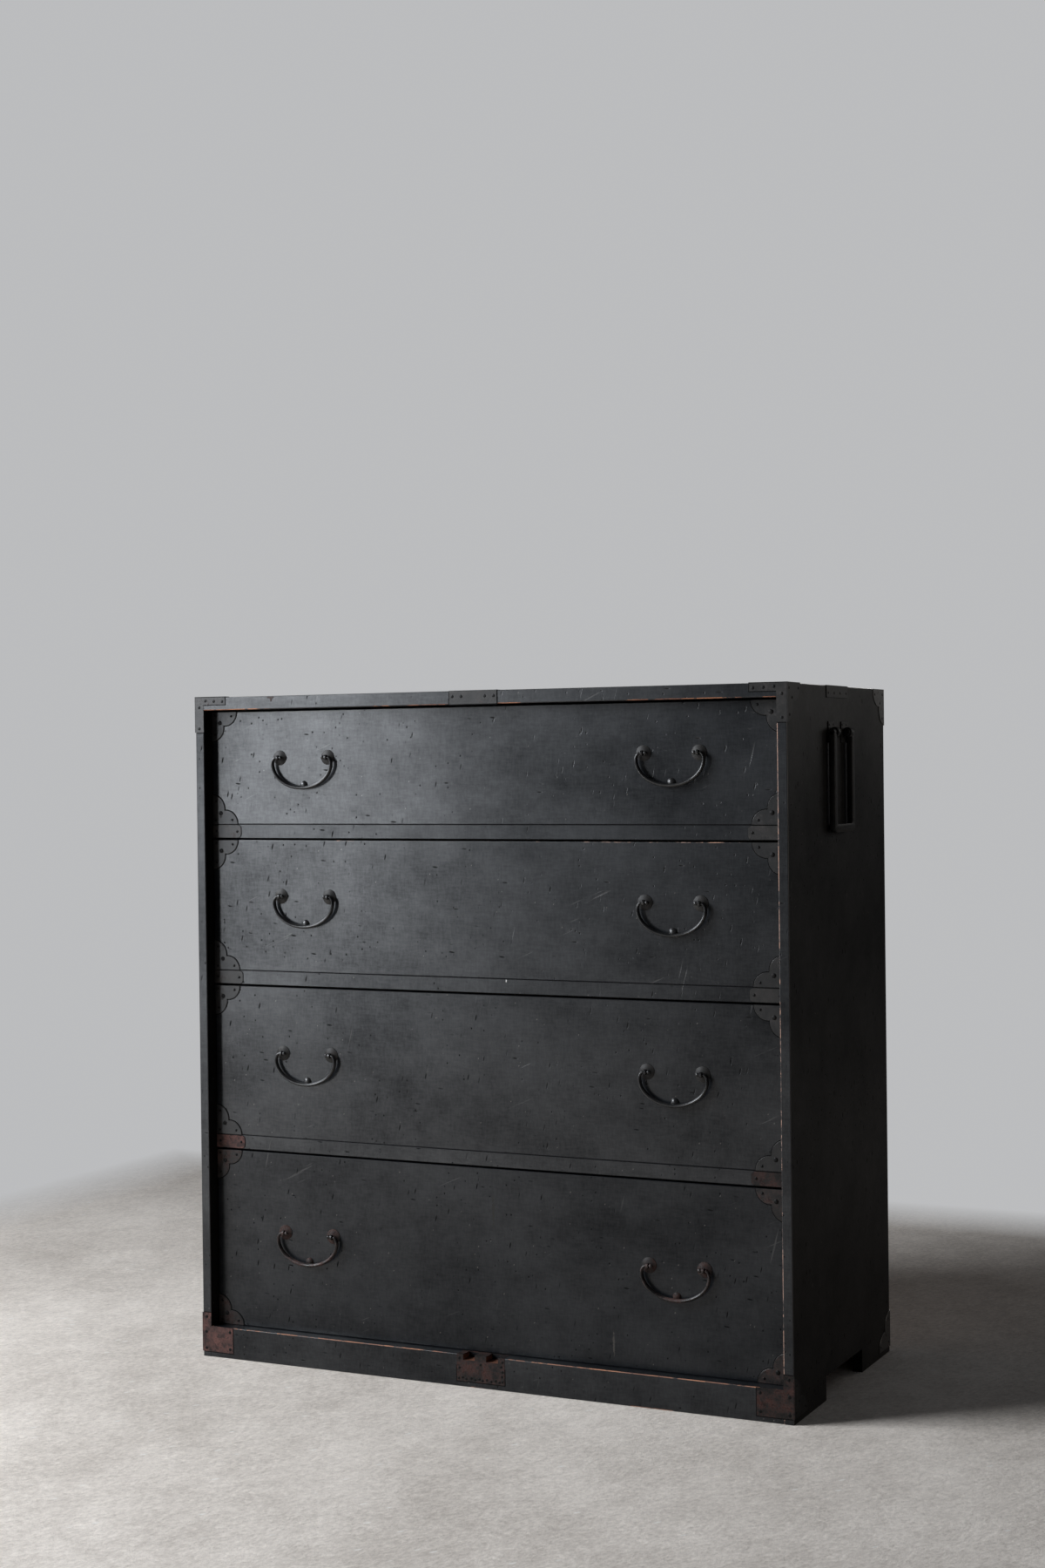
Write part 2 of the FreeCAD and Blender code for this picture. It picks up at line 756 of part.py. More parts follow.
def main():
    os.makedirs("parts", exist_ok=True)
    write("side_left", [side_board(-1)])
    write("side_right", [side_board(1)])
    write("top_board", [top_board()])
    write("bottom_front_rail", [bottom_front_rail()])
    write("bottom_rear_rail", [bottom_rear_rail()])
    write("bottom_board", [bottom_board()])
    write("divider_rails", divider_rails())
    write("shelves", shelves())
    write("drawer_stops", drawer_stops())
    write("back_boards", back_boards())
    write("front_corner_plates", front_corner_plates())
    write("rear_corner_plates", rear_corner_plates())
    write("divider_end_plates", divider_end_plates())
    write("top_front_plate", [top_front_plate()])
    write("lock_plate", [lock_plate()])
    write("side_straps", side_straps())
    write("carrying_lugs", carrying_lugs())
    write("carrying_bail_left", [carrying_bail(-1)])
    write("carrying_bail_right", [carrying_bail(1)])
    for number, (floor, height, eye_level) in enumerate(zip(floors, drawer_heights, eye_levels), start=1):
        drawer = "drawer_" + str(number)
        write(drawer + "_front", [drawer_front(floor, height)])
        write(drawer + "_sides", drawer_sides(floor, height))
        write(drawer + "_back", [drawer_back(floor, height)])
        write(drawer + "_bottom", [drawer_bottom(floor)])
        write(drawer + "_corner_plates", drawer_corner_plates(floor, height))
        write(drawer + "_rosettes", rosettes(eye_level))
        write(drawer + "_posts", posts(eye_level))
        write(drawer + "_strikers", strikers(eye_level))
        for side, x in handle_places:
            write(drawer + "_bail_" + side, [drawer_bail(x, eye_level)])


main()
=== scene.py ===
import math

import bmesh
import bpy
from mathutils import Matrix, Vector


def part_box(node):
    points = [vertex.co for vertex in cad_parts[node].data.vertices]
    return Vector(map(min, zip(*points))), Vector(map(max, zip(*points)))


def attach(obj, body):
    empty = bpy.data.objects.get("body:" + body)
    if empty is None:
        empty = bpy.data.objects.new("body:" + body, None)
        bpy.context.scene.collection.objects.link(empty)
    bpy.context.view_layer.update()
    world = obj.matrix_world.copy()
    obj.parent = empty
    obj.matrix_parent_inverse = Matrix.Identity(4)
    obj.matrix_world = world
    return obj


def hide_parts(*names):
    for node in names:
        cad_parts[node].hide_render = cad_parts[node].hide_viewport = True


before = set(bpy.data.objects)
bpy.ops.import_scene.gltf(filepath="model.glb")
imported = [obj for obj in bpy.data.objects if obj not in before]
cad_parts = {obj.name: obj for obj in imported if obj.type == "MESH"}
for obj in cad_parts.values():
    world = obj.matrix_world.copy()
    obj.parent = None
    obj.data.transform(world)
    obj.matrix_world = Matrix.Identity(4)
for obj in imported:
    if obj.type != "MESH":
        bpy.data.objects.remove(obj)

# Sizes are in metres, and the places of the boards come from the CAD nodes.
MM = 0.001
TOUCH = 0.05 * MM
X = Vector((1, 0, 0))
Y = Vector((0, 1, 0))
Z = Vector((0, 0, 1))
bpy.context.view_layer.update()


# Nodes and finishes

def feed(tree, node, **inputs):
    """Fill a node's inputs, such as Base_Color=tone or in0=2.0. A socket is linked, and any other value is set."""
    for key, value in inputs.items():
        socket = node.inputs[int(key[2:]) if key.startswith("in") and key[2:].isdigit() else key.replace("_", " ")]
        if isinstance(value, bpy.types.NodeSocket):
            tree.links.new(value, socket)
        else:
            socket.default_value = value


def add_node(tree, kind, settings=(), **inputs):
    made = tree.nodes.new(kind)
    for key, value in dict(settings).items():
        setattr(made, key, value)
    feed(tree, made, **inputs)
    return made


def start_finish(name):
    """A new material, its node tree, its main shader and the piece's own coordinates."""
    finish = bpy.data.materials.new(name)
    finish.use_nodes = True
    tree = finish.node_tree
    return finish, tree, tree.nodes["Principled BSDF"], tree.nodes.new("ShaderNodeTexCoord").outputs["Object"]


def drawn_out(tree, place, stretch, turn, shift=(0, 0, 0)):
    """Coordinates that are turned first and then multiplied by the stretch, so a small one draws marks out."""
    made = add_node(tree, "ShaderNodeMapping", {"vector_type": "TEXTURE"}, Vector=place, Location=shift, Rotation=turn,
                    Scale=tuple(1 / value for value in stretch))
    return made.outputs[0]


def noise(tree, place, scale, stretch=(1, 1, 1), turn=(0, 0, 0), shift=(0, 0, 0), detail=4.0, roughness=0.55):
    made = add_node(tree, "ShaderNodeTexNoise", Vector=drawn_out(tree, place, stretch, turn, shift), Scale=scale,
                    Detail=detail, Roughness=roughness)
    return made.outputs["Fac"]


def ranged(tree, value, low, high, to_low=0.0, to_high=1.0):
    made = add_node(tree, "ShaderNodeMapRange", Value=value, From_Min=low, From_Max=high, To_Min=to_low,
                    To_Max=to_high)
    return made.outputs[0]


def maths(tree, operation, *values):
    """One operation on two or more values, taken in turn."""
    total = values[0]
    for value in values[1:]:
        total = add_node(tree, "ShaderNodeMath", {"operation": operation}, in0=total, in1=value).outputs[0]
    return total


def weighed(tree, *parts):
    """The sum of some values, each given with its weight."""
    return maths(tree, "ADD", *[maths(tree, "MULTIPLY", value, weight) for value, weight in parts])


def opaque(colour):
    return colour if isinstance(colour, bpy.types.NodeSocket) else (*colour, 1)


def blend(tree, share, first, second):
    made = add_node(tree, "ShaderNodeMix", {"data_type": "RGBA"}, in0=share, in6=opaque(first), in7=opaque(second))
    return made.outputs[2]


def bumped(tree, shader, height, strength, distance):
    relief = add_node(tree, "ShaderNodeBump", Height=height, Strength=strength, Distance=distance).outputs[0]
    feed(tree, shader, Normal=relief)
    return relief


def dots(tree, place, scale, stretch, turn, reach, kept):
    """Small marks scattered at random: each is reach wide in a cell, and only a share of the cells has one."""
    cells = add_node(tree, "ShaderNodeTexVoronoi", Vector=drawn_out(tree, place, stretch, turn), Scale=scale)
    chance = add_node(tree, "ShaderNodeSeparateColor", Color=cells.outputs["Color"]).outputs[0]
    mark = ranged(tree, cells.outputs["Distance"], 0.55 * reach, reach, 1.0, 0.0)
    return maths(tree, "MULTIPLY", mark, ranged(tree, chance, kept, kept + 0.02, 1.0, 0.0))


def spot(tree, place, centre, size):
    """A mark of a given size at one place, with a ragged outline: 1 inside and 0 outside."""
    within = add_node(tree, "ShaderNodeMapping", {"vector_type": "TEXTURE"}, Vector=place, Location=centre, Scale=size)
    length = add_node(tree, "ShaderNodeVectorMath", {"operation": "LENGTH"}, in0=within.outputs[0]).outputs["Value"]
    ragged = ranged(tree, noise(tree, place, 420.0, detail=3.0), 0.3, 0.7, -0.5, 0.5)
    return ranged(tree, maths(tree, "ADD", length, ragged), 0.8, 1.0, 1.0, 0.0)


def runs_along(tree, place, runs):
    """Stretches along X where something happens, each given as (start, end, strength)."""
    across = add_node(tree, "ShaderNodeSeparateXYZ", Vector=place).outputs[0]
    fade = 6.0 * MM
    insides = []
    for start, end, strength in runs:
        off = maths(tree, "ABSOLUTE", maths(tree, "SUBTRACT", across, (start + end) / 2), 0.0)
        half = (end - start) / 2
        insides.append(ranged(tree, off, half - fade, half + fade, strength, 0.0))
    return maths(tree, "MAXIMUM", *insides)


def lacquer_marks(tree, place, flecked):
    """Clouds, mottling, brush weave, dents, specks and scratches of old lacquer, each from 0 to 1."""
    cloud = noise(tree, place, 7.0, stretch=(0.6, 1, 1), detail=5.0)
    mottle = noise(tree, place, 30.0, stretch=(0.8, 1, 0.9), shift=(2, 7, 4), detail=5.0, roughness=0.62)
    level = noise(tree, place, 300.0, stretch=(0.2, 1, 1), detail=5.0, roughness=0.78)
    upright = noise(tree, place, 320.0, stretch=(1, 1, 0.26), shift=(4, 1, 8), detail=5.0, roughness=0.78)
    weave = weighed(tree, (level, 0.5), (upright, 0.5))
    dashes = dots(tree, place, 115.0, stretch=(1, 1, 0.22), turn=(0, 0.22, 0), reach=0.15, kept=0.42)
    nicks = dots(tree, place, 100.0, stretch=(0.26, 1, 1), turn=(0, 0.1, 0), reach=0.14, kept=0.34)
    pits = dots(tree, place, 150.0, stretch=(1, 1, 0.8), turn=(0, 0, 0), reach=0.22, kept=0.15)
    often = ranged(tree, noise(tree, place, 13.0, shift=(3, 1, 2), detail=2.0), 0.34, 0.5)
    dent = maths(tree, "MULTIPLY", maths(tree, "MAXIMUM", dashes, nicks, pits), often)
    specks = dots(tree, place, 150.0, stretch=(1, 1, 0.6), turn=(0, 0.5, 0), reach=0.13, kept=flecked)
    steep = noise(tree, place, 210.0, stretch=(1, 1, 0.04), turn=(0, math.radians(14), 0), detail=2.0)
    slanted = noise(tree, place, 190.0, stretch=(0.05, 1, 1), turn=(0, math.radians(-24), 0), detail=2.0)
    few = ranged(tree, noise(tree, place, 11.0, shift=(5, 5, 1), detail=2.0), 0.54, 0.62)
    lines = maths(tree, "MAXIMUM", ranged(tree, steep, 0.7, 0.74), ranged(tree, slanted, 0.7, 0.74))
    return cloud, mottle, weave, dent, specks, maths(tree, "MULTIPLY", lines, few)


glaze_share = 1.3
scratch_tone = (0.085, 0.082, 0.078)
speck_tone = (0.17, 0.155, 0.14)
dent_tone = (0.0015, 0.0015, 0.0015)


def lacquer(name, dark, light, roughness, gloss, flecked=0.06, spots=()):
    """Black lacquer whose glaze has gone unevenly. Each of the spots is a place, a size and a colour."""
    finish, tree, shader, place = start_finish(name)
    cloud, mottle, weave, dent, speck, scratch = lacquer_marks(tree, place, flecked)
    mixed = weighed(tree, (cloud, 0.45), (mottle, 0.35), (weave, 0.2))
    tone = blend(tree, ranged(tree, mixed, 0.4, 0.6), dark, light)
    tone = blend(tree, maths(tree, "MULTIPLY", scratch, 0.4), tone, scratch_tone)
    tone = blend(tree, maths(tree, "MULTIPLY", speck, 0.5), tone, speck_tone)
    tone = blend(tree, dent, tone, dent_tone)
    marred = dent
    for centre, size, colour in spots:
        mark = spot(tree, place, centre, size)
        tone = blend(tree, mark, tone, colour)
        marred = maths(tree, "MAXIMUM", marred, mark)
    dulled = ranged(tree, cloud, 0.34, 0.66, roughness - 0.02, roughness + 0.02)
    patchy = maths(tree, "ADD", ranged(tree, cloud, 0.36, 0.64, 0.66, 1.34),
                   ranged(tree, mottle, 0.3, 0.7, -0.2, 0.2), ranged(tree, weave, 0.4, 0.6, -0.28, 0.28))
    left = ranged(tree, marred, 0.0, 1.0, glaze_share * gloss, 0.0)
    height = weighed(tree, (weave, 0.16), (mottle, 0.08), (dent, -0.7), (scratch, -0.25))
    feed(tree, shader, Base_Color=tone, Coat_Weight=maths(tree, "MULTIPLY", patchy, left),
         Roughness=maths(tree, "ADD", dulled, maths(tree, "MULTIPLY", marred, 0.45)),
         Coat_Normal=bumped(tree, shader, height, 0.5, 0.5 * MM), Coat_Roughness=roughness,
         Specular_IOR_Level=gloss * 0.35)
    return finish


def worn_arris(name, amount, pale_share, runs=(), shine=0.5):
    """An arris where the lacquer has rubbed through to its pale ground and then to orange wood."""
    finish, tree, shader, place = start_finish(name)
    rub = noise(tree, place, 150.0, stretch=(0.4, 1, 0.4), detail=6.0, roughness=0.85)
    parts = [(rub, 0.7), (noise(tree, place, 16.0, shift=(1, 5, 2), detail=3.0), 0.4)]
    if runs:
        parts.append((runs_along(tree, place, runs), 0.25))
    edge = 0.72 - 0.25 * amount
    worn = ranged(tree, weighed(tree, *parts), edge, edge + 0.035)
    rings = ranged(tree, noise(tree, place, 130.0, stretch=(0.2, 1, 1)), 0.4, 0.6)
    wood = blend(tree, rings, (0.2, 0.06, 0.024), (0.5, 0.19, 0.08))
    ground = blend(tree, pale_share, wood, (0.34, 0.3, 0.27))
    feed(tree, shader, Base_Color=blend(tree, worn, (0.01, 0.01, 0.011), ground),
         Roughness=ranged(tree, worn, 0.0, 1.0, 0.38, 0.75), Specular_IOR_Level=shine)
    bumped(tree, shader, rub, 0.4, 0.5 * MM)
    return finish


def shaded(colour, share):
    return tuple(share * value for value in colour)


def iron(name, dark, light, rust_amount, rust_tone, roughness, metallic, shine):
    """Hand-forged iron, blacked and then browned with rust in patches. Its tones are given in thousandths."""
    dark, light, rust_tone = (shaded(tone, 0.001) for tone in (dark, light, rust_tone))
    finish, tree, shader, place = start_finish(name)
    patch = noise(tree, place, 55.0, detail=6.0, roughness=0.65)
    grain = noise(tree, place, 420.0)
    skin = blend(tree, ranged(tree, patch, 0.35, 0.65), dark, light)
    edge = 0.72 - 0.42 * rust_amount
    rust = ranged(tree, weighed(tree, (patch, 0.6), (grain, 0.4)), edge - 0.07, edge + 0.09)
    rust_mix = blend(tree, ranged(tree, grain, 0.35, 0.65), rust_tone, shaded(rust_tone, 0.4))
    blots = ranged(tree, noise(tree, place, 140.0, shift=(3, 3, 6), detail=5.0), 0.52, 0.6)
    rust_mix = blend(tree, blots, rust_mix, shaded(rust_tone, 0.22))
    feed(tree, shader, Base_Color=blend(tree, rust, skin, rust_mix),
         Roughness=ranged(tree, rust, 0.0, 1.0, roughness, 0.85),
         Metallic=ranged(tree, rust, 0.0, 1.0, metallic, 0.1), Specular_IOR_Level=shine)
    bumped(tree, shader, weighed(tree, (patch, 0.8), (grain, 0.25)), 0.45, 0.7 * MM)
    return finish


def bare_wood(name, stretch, early, late):
    """Unfinished board with growth rings drawn out along its grain."""
    finish, tree, shader, place = start_finish(name)
    wander = noise(tree, place, 5.0, stretch=stretch, detail=3.0)
    rings = noise(tree, place, 60.0, stretch=stretch, detail=5.0, roughness=0.6)
    fibre = noise(tree, place, 500.0, stretch=stretch, detail=2.0)
    figure = weighed(tree, (rings, 0.7), (wander, 0.45))
    tone = blend(tree, ranged(tree, figure, 0.4, 0.75), early, late)
    tone = blend(tree, ranged(tree, fibre, 0.55, 0.8, 0.0, 0.5), tone, late)
    feed(tree, shader, Base_Color=tone, Roughness=ranged(tree, figure, 0.3, 0.8, 0.72, 0.6))
    bumped(tree, shader, maths(tree, "ADD", rings, maths(tree, "MULTIPLY", fibre, 0.4)), 0.3, 0.5 * MM)
    return finish


lacquer_dark = (0.0024, 0.0032, 0.0045)
lacquer_light = (0.0062, 0.0076, 0.0098)
drawer_spots = [((0.012, -0.196, 0.25), (0.002, 0.002, 0.024), (0.03, 0.029, 0.027)),
                ((0.199, -0.196, 0.078), (0.0016, 0.002, 0.017), (0.06, 0.055, 0.05))]
rail_spots = [((0.037, -0.196, 0.583), (0.001, 0.03, 0.003), (0.55, 0.54, 0.52))]


def black_lacquer(name, *looks):
    return lacquer("black_lacquer_" + name, lacquer_dark, lacquer_light, *looks)


front_looks = ((0.29, 0.62, 0.04), (0.3, 0.54, 0.04), (0.31, 0.46, 0.09), (0.32, 0.35, 0.12, drawer_spots))
lacquer_fronts = {number: black_lacquer("of_drawer_%d" % number, *looks) for number, looks in enumerate(front_looks, 1)}
lacquer_rails = black_lacquer("of_the_rails", 0.31, 0.5, 0.06, rail_spots)
lacquer_ledge = black_lacquer("of_the_ledge", 0.33, 0.5, 0.09)
lacquer_top = black_lacquer("of_the_top", 0.32, 0.62)
lacquer_upright = lacquer("black_lacquer_of_the_sides", (0.0018, 0.0015, 0.0012), (0.0042, 0.0035, 0.0029), 0.45, 0.16)
lacquer_edge = black_lacquer("front_edges", 0.34, 0.5)
arris_dark = worn_arris("arris_hardly_worn", 0.05, 0.15)
arris_dirty = worn_arris("arris_filled_with_dirt", 0.00, 0.35, shine=0.08)
arris_pale = worn_arris("arris_worn_pale", 0.75, 0.5)
arris_top = worn_arris("arris_of_the_top", 0.2, 0.1,
                       [(-0.47, -0.44, 1.6), (-0.44, -0.385, 0.8), (-0.385, -0.34, 0.35), (-0.165, 0.08, 0.62),
                        (0.235, 0.41, 0.62), (0.44, 0.455, 1.4)])
arris_drawer = worn_arris("arris_of_the_drawer_fronts", 0.15, 0.45, [(-0.245, -0.195, 0.45), (0.145, 0.425, 0.45)])
arris_foot = worn_arris("arris_of_the_foot", 0.1, 0.3, [(0.23, 0.3, 0.9), (-0.02, 0.02, 0.6)])
arris_bare = worn_arris("arris_worn_bare", 0.35, 0.2,
                        [(-0.4, -0.27, 0.3), (-0.27, -0.05, 0.5), (0.04, 0.3, 0.48), (0.3, 0.45, 0.42)])
iron_black = iron("iron_blacked", (11, 11, 11.5), (36, 35, 34), 0.08, (50, 28, 21), 0.28, 0.45, 0.7)
iron_low_handles = iron("iron_of_the_lowest_handles", (10, 9.5, 9), (30, 26, 24), 0.46, (85, 36, 28), 0.3, 0.4, 0.6)
iron_domed = iron("iron_of_the_rosettes", (9, 8.5, 8), (26, 24, 22.5), 0.24, (42, 22, 17), 0.52, 0.25, 0.3)
iron_low_domed = iron("iron_of_the_lowest_rosettes", (9, 8.2, 7.5), (26, 22.5, 20.5), 0.5, (60, 26, 20), 0.5, 0.25, 0.3)
iron_lobed = iron("iron_of_the_lobed_plates", (7, 7.2, 7.8), (20, 19, 18.5), 0.22, (40, 22, 18), 0.37, 0.16, 0.5)
iron_low_lobed = iron("iron_of_the_lowest_lobed_plates", (8, 7.2, 7), (22, 19, 17.5), 0.5, (60, 27, 21), 0.4, 0.2, 0.4)
iron_shaded = iron("iron_in_the_shade", (4, 4, 4), (11, 10, 9.5), 0.1, (16, 8, 6), 0.45, 0.2, 0.2)
iron_browned = iron("iron_browned", (9, 8.5, 8), (24, 21.5, 20), 0.26, (50, 23, 18), 0.4, 0.2, 0.52)
iron_rusty = iron("iron_rusty", (10, 8, 7.5), (34, 25, 23), 0.66, (125, 52, 42), 0.52, 0.55, 0.5)
iron_dark_rust = iron("iron_dark_with_rust", (7, 6.5, 6), (24, 21, 20), 0.52, (72, 28, 21), 0.46, 0.3, 0.3)
# The rims of the lobed plates: rubbed iron, made brighter still as a painted highlight where the light catches the rim.
iron_rim_rubbed_and_highlit = iron("iron_rubbed_bright", (24, 23.5, 23), (60, 57, 55), 0.1, (115, 36, 24), 0.38, 0.55, 0.5)
# A near-black finish that paints the shadow along the edges of the iron plates and in the gap round them.
iron_painted_shadow = iron("iron_edge_dark", (1.5, 1.5, 1.5), (4, 3.8, 3.6), 0.05, (8, 5, 4), 0.75, 0.0, 0.08)
iron_nail = iron("iron_nail_heads", (2, 1.9, 1.8), (6, 5.7, 5.4), 0.12, (14, 7, 5), 0.45, 0.1, 0.16)
along_x = (0.05, 1, 1)
along_y = (1, 0.05, 1)
paulownia = (0.42, 0.29, 0.18), (0.27, 0.165, 0.095)
paulownia_x = bare_wood("drawer_wood_along_x", along_x, *paulownia)
paulownia_y = bare_wood("drawer_wood_along_y", along_y, *paulownia)
cedar_back = bare_wood("back_board_wood", along_x, (0.19, 0.125, 0.08), (0.095, 0.058, 0.037))
chipped = bare_wood("wood_under_the_chipped_lacquer", along_x, (0.03, 0.013, 0.009), (0.012, 0.006, 0.004))
socket_wood = bare_wood("wood_inside_the_sockets", along_x, (0.13, 0.046, 0.022), (0.065, 0.024, 0.013))


# Making pieces

def in_scene(name, data):
    made = bpy.data.objects.new(name, data)
    bpy.context.scene.collection.objects.link(made)
    return made


def mesh_in_scene(bm, name, finishes):
    """Turn a finished bmesh into an object."""
    mesh = bpy.data.meshes.new(name)
    bm.to_mesh(mesh)
    bm.free()
    for finish in finishes:
        mesh.materials.append(finish)
    return in_scene(name, mesh)


def place_piece(bm, name, body, stands_for, finishes, smooth=False):
    """Turn a finished bmesh into a piece of the chest, on its body."""
    bmesh.ops.recalc_face_normals(bm, faces=bm.faces)
    for face in bm.faces:
        face.smooth = smooth
    piece = mesh_in_scene(bm, name, finishes)
    if smooth:
        piece.data.set_sharp_from_angle(angle=math.radians(32))
    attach(piece, body)
    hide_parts(stands_for)


def place_on_case(bm, node_name, finishes, smooth=False):
    place_piece(bm, "case_" + node_name, "case", node_name, finishes, smooth)


def place_on_drawer(bm, number, name, node_name, finishes, smooth=False):
    drawer = "drawer_%d" % number
    place_piece(bm, drawer + "_" + name, drawer, drawer + "_" + node_name, finishes, smooth)


def front_box(number):
    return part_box("drawer_%d_front" % number)


def millimetres(points):
    """Points or sizes that are given in millimetres."""
    return [tuple(value * MM for value in point) for point in points]


def both_halves(half):
    """The points of a symmetrical outline, from left to right, made from those of its right half."""
    return [(-across, up) for across, up in reversed(half)] + half


def of_kind(parts, kind):
    return [part for part in parts if isinstance(part, kind)]


def span(edge, axis):
    """How far an edge reaches along an axis."""
    return abs(getattr(edge.verts[0].co - edge.verts[1].co, axis))


def paint(verts, finish):
    """Give the faces round some vertices one of the piece's finishes, by its number."""
    for face in {face for vert in verts for face in vert.link_faces}:
        face.material_index = finish


def add_box(bm, corner, opposite, finish=0):
    """A box between two opposite corners, given in any order."""
    low, high = (Vector([pick(pair) for pair in zip(corner, opposite)]) for pick in (min, max))
    made = bmesh.ops.create_cube(bm, size=1.0)["verts"]
    bmesh.ops.scale(bm, vec=high - low, verts=made)
    bmesh.ops.translate(bm, vec=(low + high) / 2, verts=made)
    paint(made, finish)
    return made


def edges_at(bm, among=None, **where):
    """The edges that lie at the given levels, such as y=front, z=top, or those of them among some vertices."""
    levels = where.items()
    return [edge for edge in bm.edges if (among is None or set(edge.verts) <= set(among))
            and all(abs(getattr(vert.co, axis) - level) < TOUCH for vert in edge.verts for axis, level in levels)]


def bevelled(bm, edges, width, segments, clamp=False):
    """Round some edges. Returns the new faces."""
    return bmesh.ops.bevel(bm, geom=edges, offset=width, offset_type="OFFSET", affect="EDGES", segments=segments,
                           profile=0.5, material=-1, clamp_overlap=clamp)["faces"]


def soften(bm, edges, width, finish=1, segments=2):
    """Round some arrises. Their finish is a number, or a function that names the number for a place."""
    for face in bevelled(bm, edges, width, segments, clamp=True):
        face.material_index = finish(face.calc_center_median()) if callable(finish) else finish


def push_out(bm, verts, push, finish):
    """Fill a flat loop of vertices and push it out to a solid. Returns the face that moved."""
    face = bm.faces.new(verts)
    face.material_index = finish
    pushed = bmesh.ops.extrude_face_region(bm, geom=[face])["geom"]
    bmesh.ops.translate(bm, vec=push, verts=of_kind(pushed, bmesh.types.BMVert))
    moved = of_kind(pushed, bmesh.types.BMFace)[0]
    moved.material_index = finish
    return moved


def add_outline(bm, points, push, finish=0):
    """A flat outline of a few points, pushed out to a solid."""
    push_out(bm, [bm.verts.new(point) for point in points], push, finish)


def add_nail(bm, place, out, radius, height, finish=0):
    """A round nail head."""
    made = bmesh.ops.create_uvsphere(bm, u_segments=10, v_segments=6, radius=radius)["verts"]
    flat = [1.0 if abs(out[axis]) < 0.5 else height / radius for axis in range(3)]
    bmesh.ops.scale(bm, vec=flat, verts=made)
    bmesh.ops.translate(bm, vec=place, verts=made)
    paint(made, finish)


def add_lobed_plate(bm, corner, along, up, out, leg, lobe, thickness, finish=0, rim=1):
    """A thin plate of two round lobes that meet in a cusp on the diagonal, with a finish of its own round its rim,
    which on most plates is rubbed iron with a painted highlight.
    """
    centre = leg - lobe
    cusp = (centre + math.sqrt(2 * lobe ** 2 - centre ** 2)) / 2
    angle = math.atan2(cusp, cusp - centre)
    first = last = bm.verts.new(corner + along * leg)
    for spin_centre in (corner + along * centre, corner + up * centre):
        spun = bmesh.ops.spin(bm, geom=[last], cent=spin_centre, axis=along.cross(up), angle=angle, steps=10)
        last = of_kind(spun["geom_last"], bmesh.types.BMVert)[0]
    heel = bm.verts.new(corner)
    bm.edges.new((last, heel))
    bm.edges.new((heel, first))
    loop = [first]
    step, came_from = first, heel
    while step is not heel:
        following = [edge.other_vert(step) for edge in step.link_edges if edge.other_vert(step) is not came_from][0]
        came_from, step = step, following
        loop.append(step)
    front = push_out(bm, loop, out * thickness, finish)
    for face in bevelled(bm, list(front.edges), thickness / 2, 1):
        face.material_index = rim


def add_turned(bm, outline, centre, axis, steps=28):
    """Turn an outline of (radius, height) points round an axis."""
    side = Z if abs(axis.z) < 0.5 else X
    others = set(bm.verts)
    verts = [bm.verts.new(centre + side * radius + axis * height) for radius, height in outline]
    edges = [bm.edges.new(pair) for pair in zip(verts, verts[1:])]
    bmesh.ops.spin(bm, geom=verts + edges, cent=centre, axis=axis, angle=2 * math.pi, steps=steps, use_merge=True)
    bmesh.ops.remove_doubles(bm, verts=[vert for vert in bm.verts if vert not in others], dist=0.02 * MM)


# The case

inner_face, front_face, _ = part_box("side_right")[0]
outer_face, back_face, lap_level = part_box("side_right")[1]
top_low, top_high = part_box("top_board")
foot_gap_half = 82 * MM
foot_gap_height = 34 * MM
arris = 1.2 * MM
chip_middle = -340 * MM
chip_proud = 0.25 * MM
chip_outline = millimetres(((-6.5, 0.9), (-3.0, 3.6), (-0.5, 3.0), (1.0, 8.0), (3.0, 8.4), (4.0, 4.2), (6.5, 2.8),
                            (7.5, 0.9)))
pale_wear_end = -250 * MM
drawer_numbers = (1, 2, 3, 4)
worn_drawer = 2
lowest_drawer = 4
divider_numbers = (1, 2, 3)
rustiest_divider = 3
rail_height = 21 * MM


def side_board(name, sign):
    plain, dark, pale, front_edge = range(4)
    bm = bmesh.new()
    outline = [(front_face, 0), (-foot_gap_half, 0), (-foot_gap_half, foot_gap_height),
               (foot_gap_half, foot_gap_height), (foot_gap_half, 0), (back_face, 0), (back_face, lap_level),
               (front_face, lap_level)]
    add_outline(bm, [(sign * inner_face, y, z) for y, z in outline], X * sign * (outer_face - inner_face))
    arrises = edges_at(bm, y=front_face, x=sign * inner_face) + edges_at(bm, y=front_face, x=sign * outer_face)
    arrises += edges_at(bm, y=back_face, x=sign * outer_face)
    inner_wear = pale if sign > 0 else dark
    soften(bm, arrises, arris, lambda place: inner_wear if abs(place.x) < outer_face - 5 * MM else dark)
    for face in bm.faces:
        if face.material_index == plain and abs(face.calc_center_median().y - front_face) < TOUCH:
            face.material_index = front_edge
    place_on_case(bm, name, [lacquer_upright, arris_dark, arris_pale, lacquer_edge])


def top_board():
    dark, worn, bare, upright = range(1, 5)
    bm = bmesh.new()
    outline = both_halves([(inner_face, top_low.z), (inner_face, lap_level), (outer_face, lap_level),
                           (outer_face, top_high.z)])
    add_outline(bm, [(x, front_face, z) for x, z in outline], Y * (back_face - front_face))
    arrises = edges_at(bm, y=front_face, z=top_high.z) + edges_at(bm, y=front_face, z=top_low.z)
    arrises += edges_at(bm, x=outer_face, z=top_high.z) + edges_at(bm, x=-outer_face, z=top_high.z)
    soften(bm, arrises, arris, lambda place: worn if place.z < lap_level else dark)
    for face in bm.faces:
        if abs(abs(face.calc_center_median().x) - outer_face) < TOUCH:
            face.material_index = upright
    points = [(chip_middle + x, front_face - chip_proud, top_high.z - drop) for x, drop in chip_outline]
    add_outline(bm, points, Y * 2 * chip_proud, bare)
    place_on_case(bm, "top_board", [lacquer_top, arris_dark, arris_top, chipped, lacquer_upright])


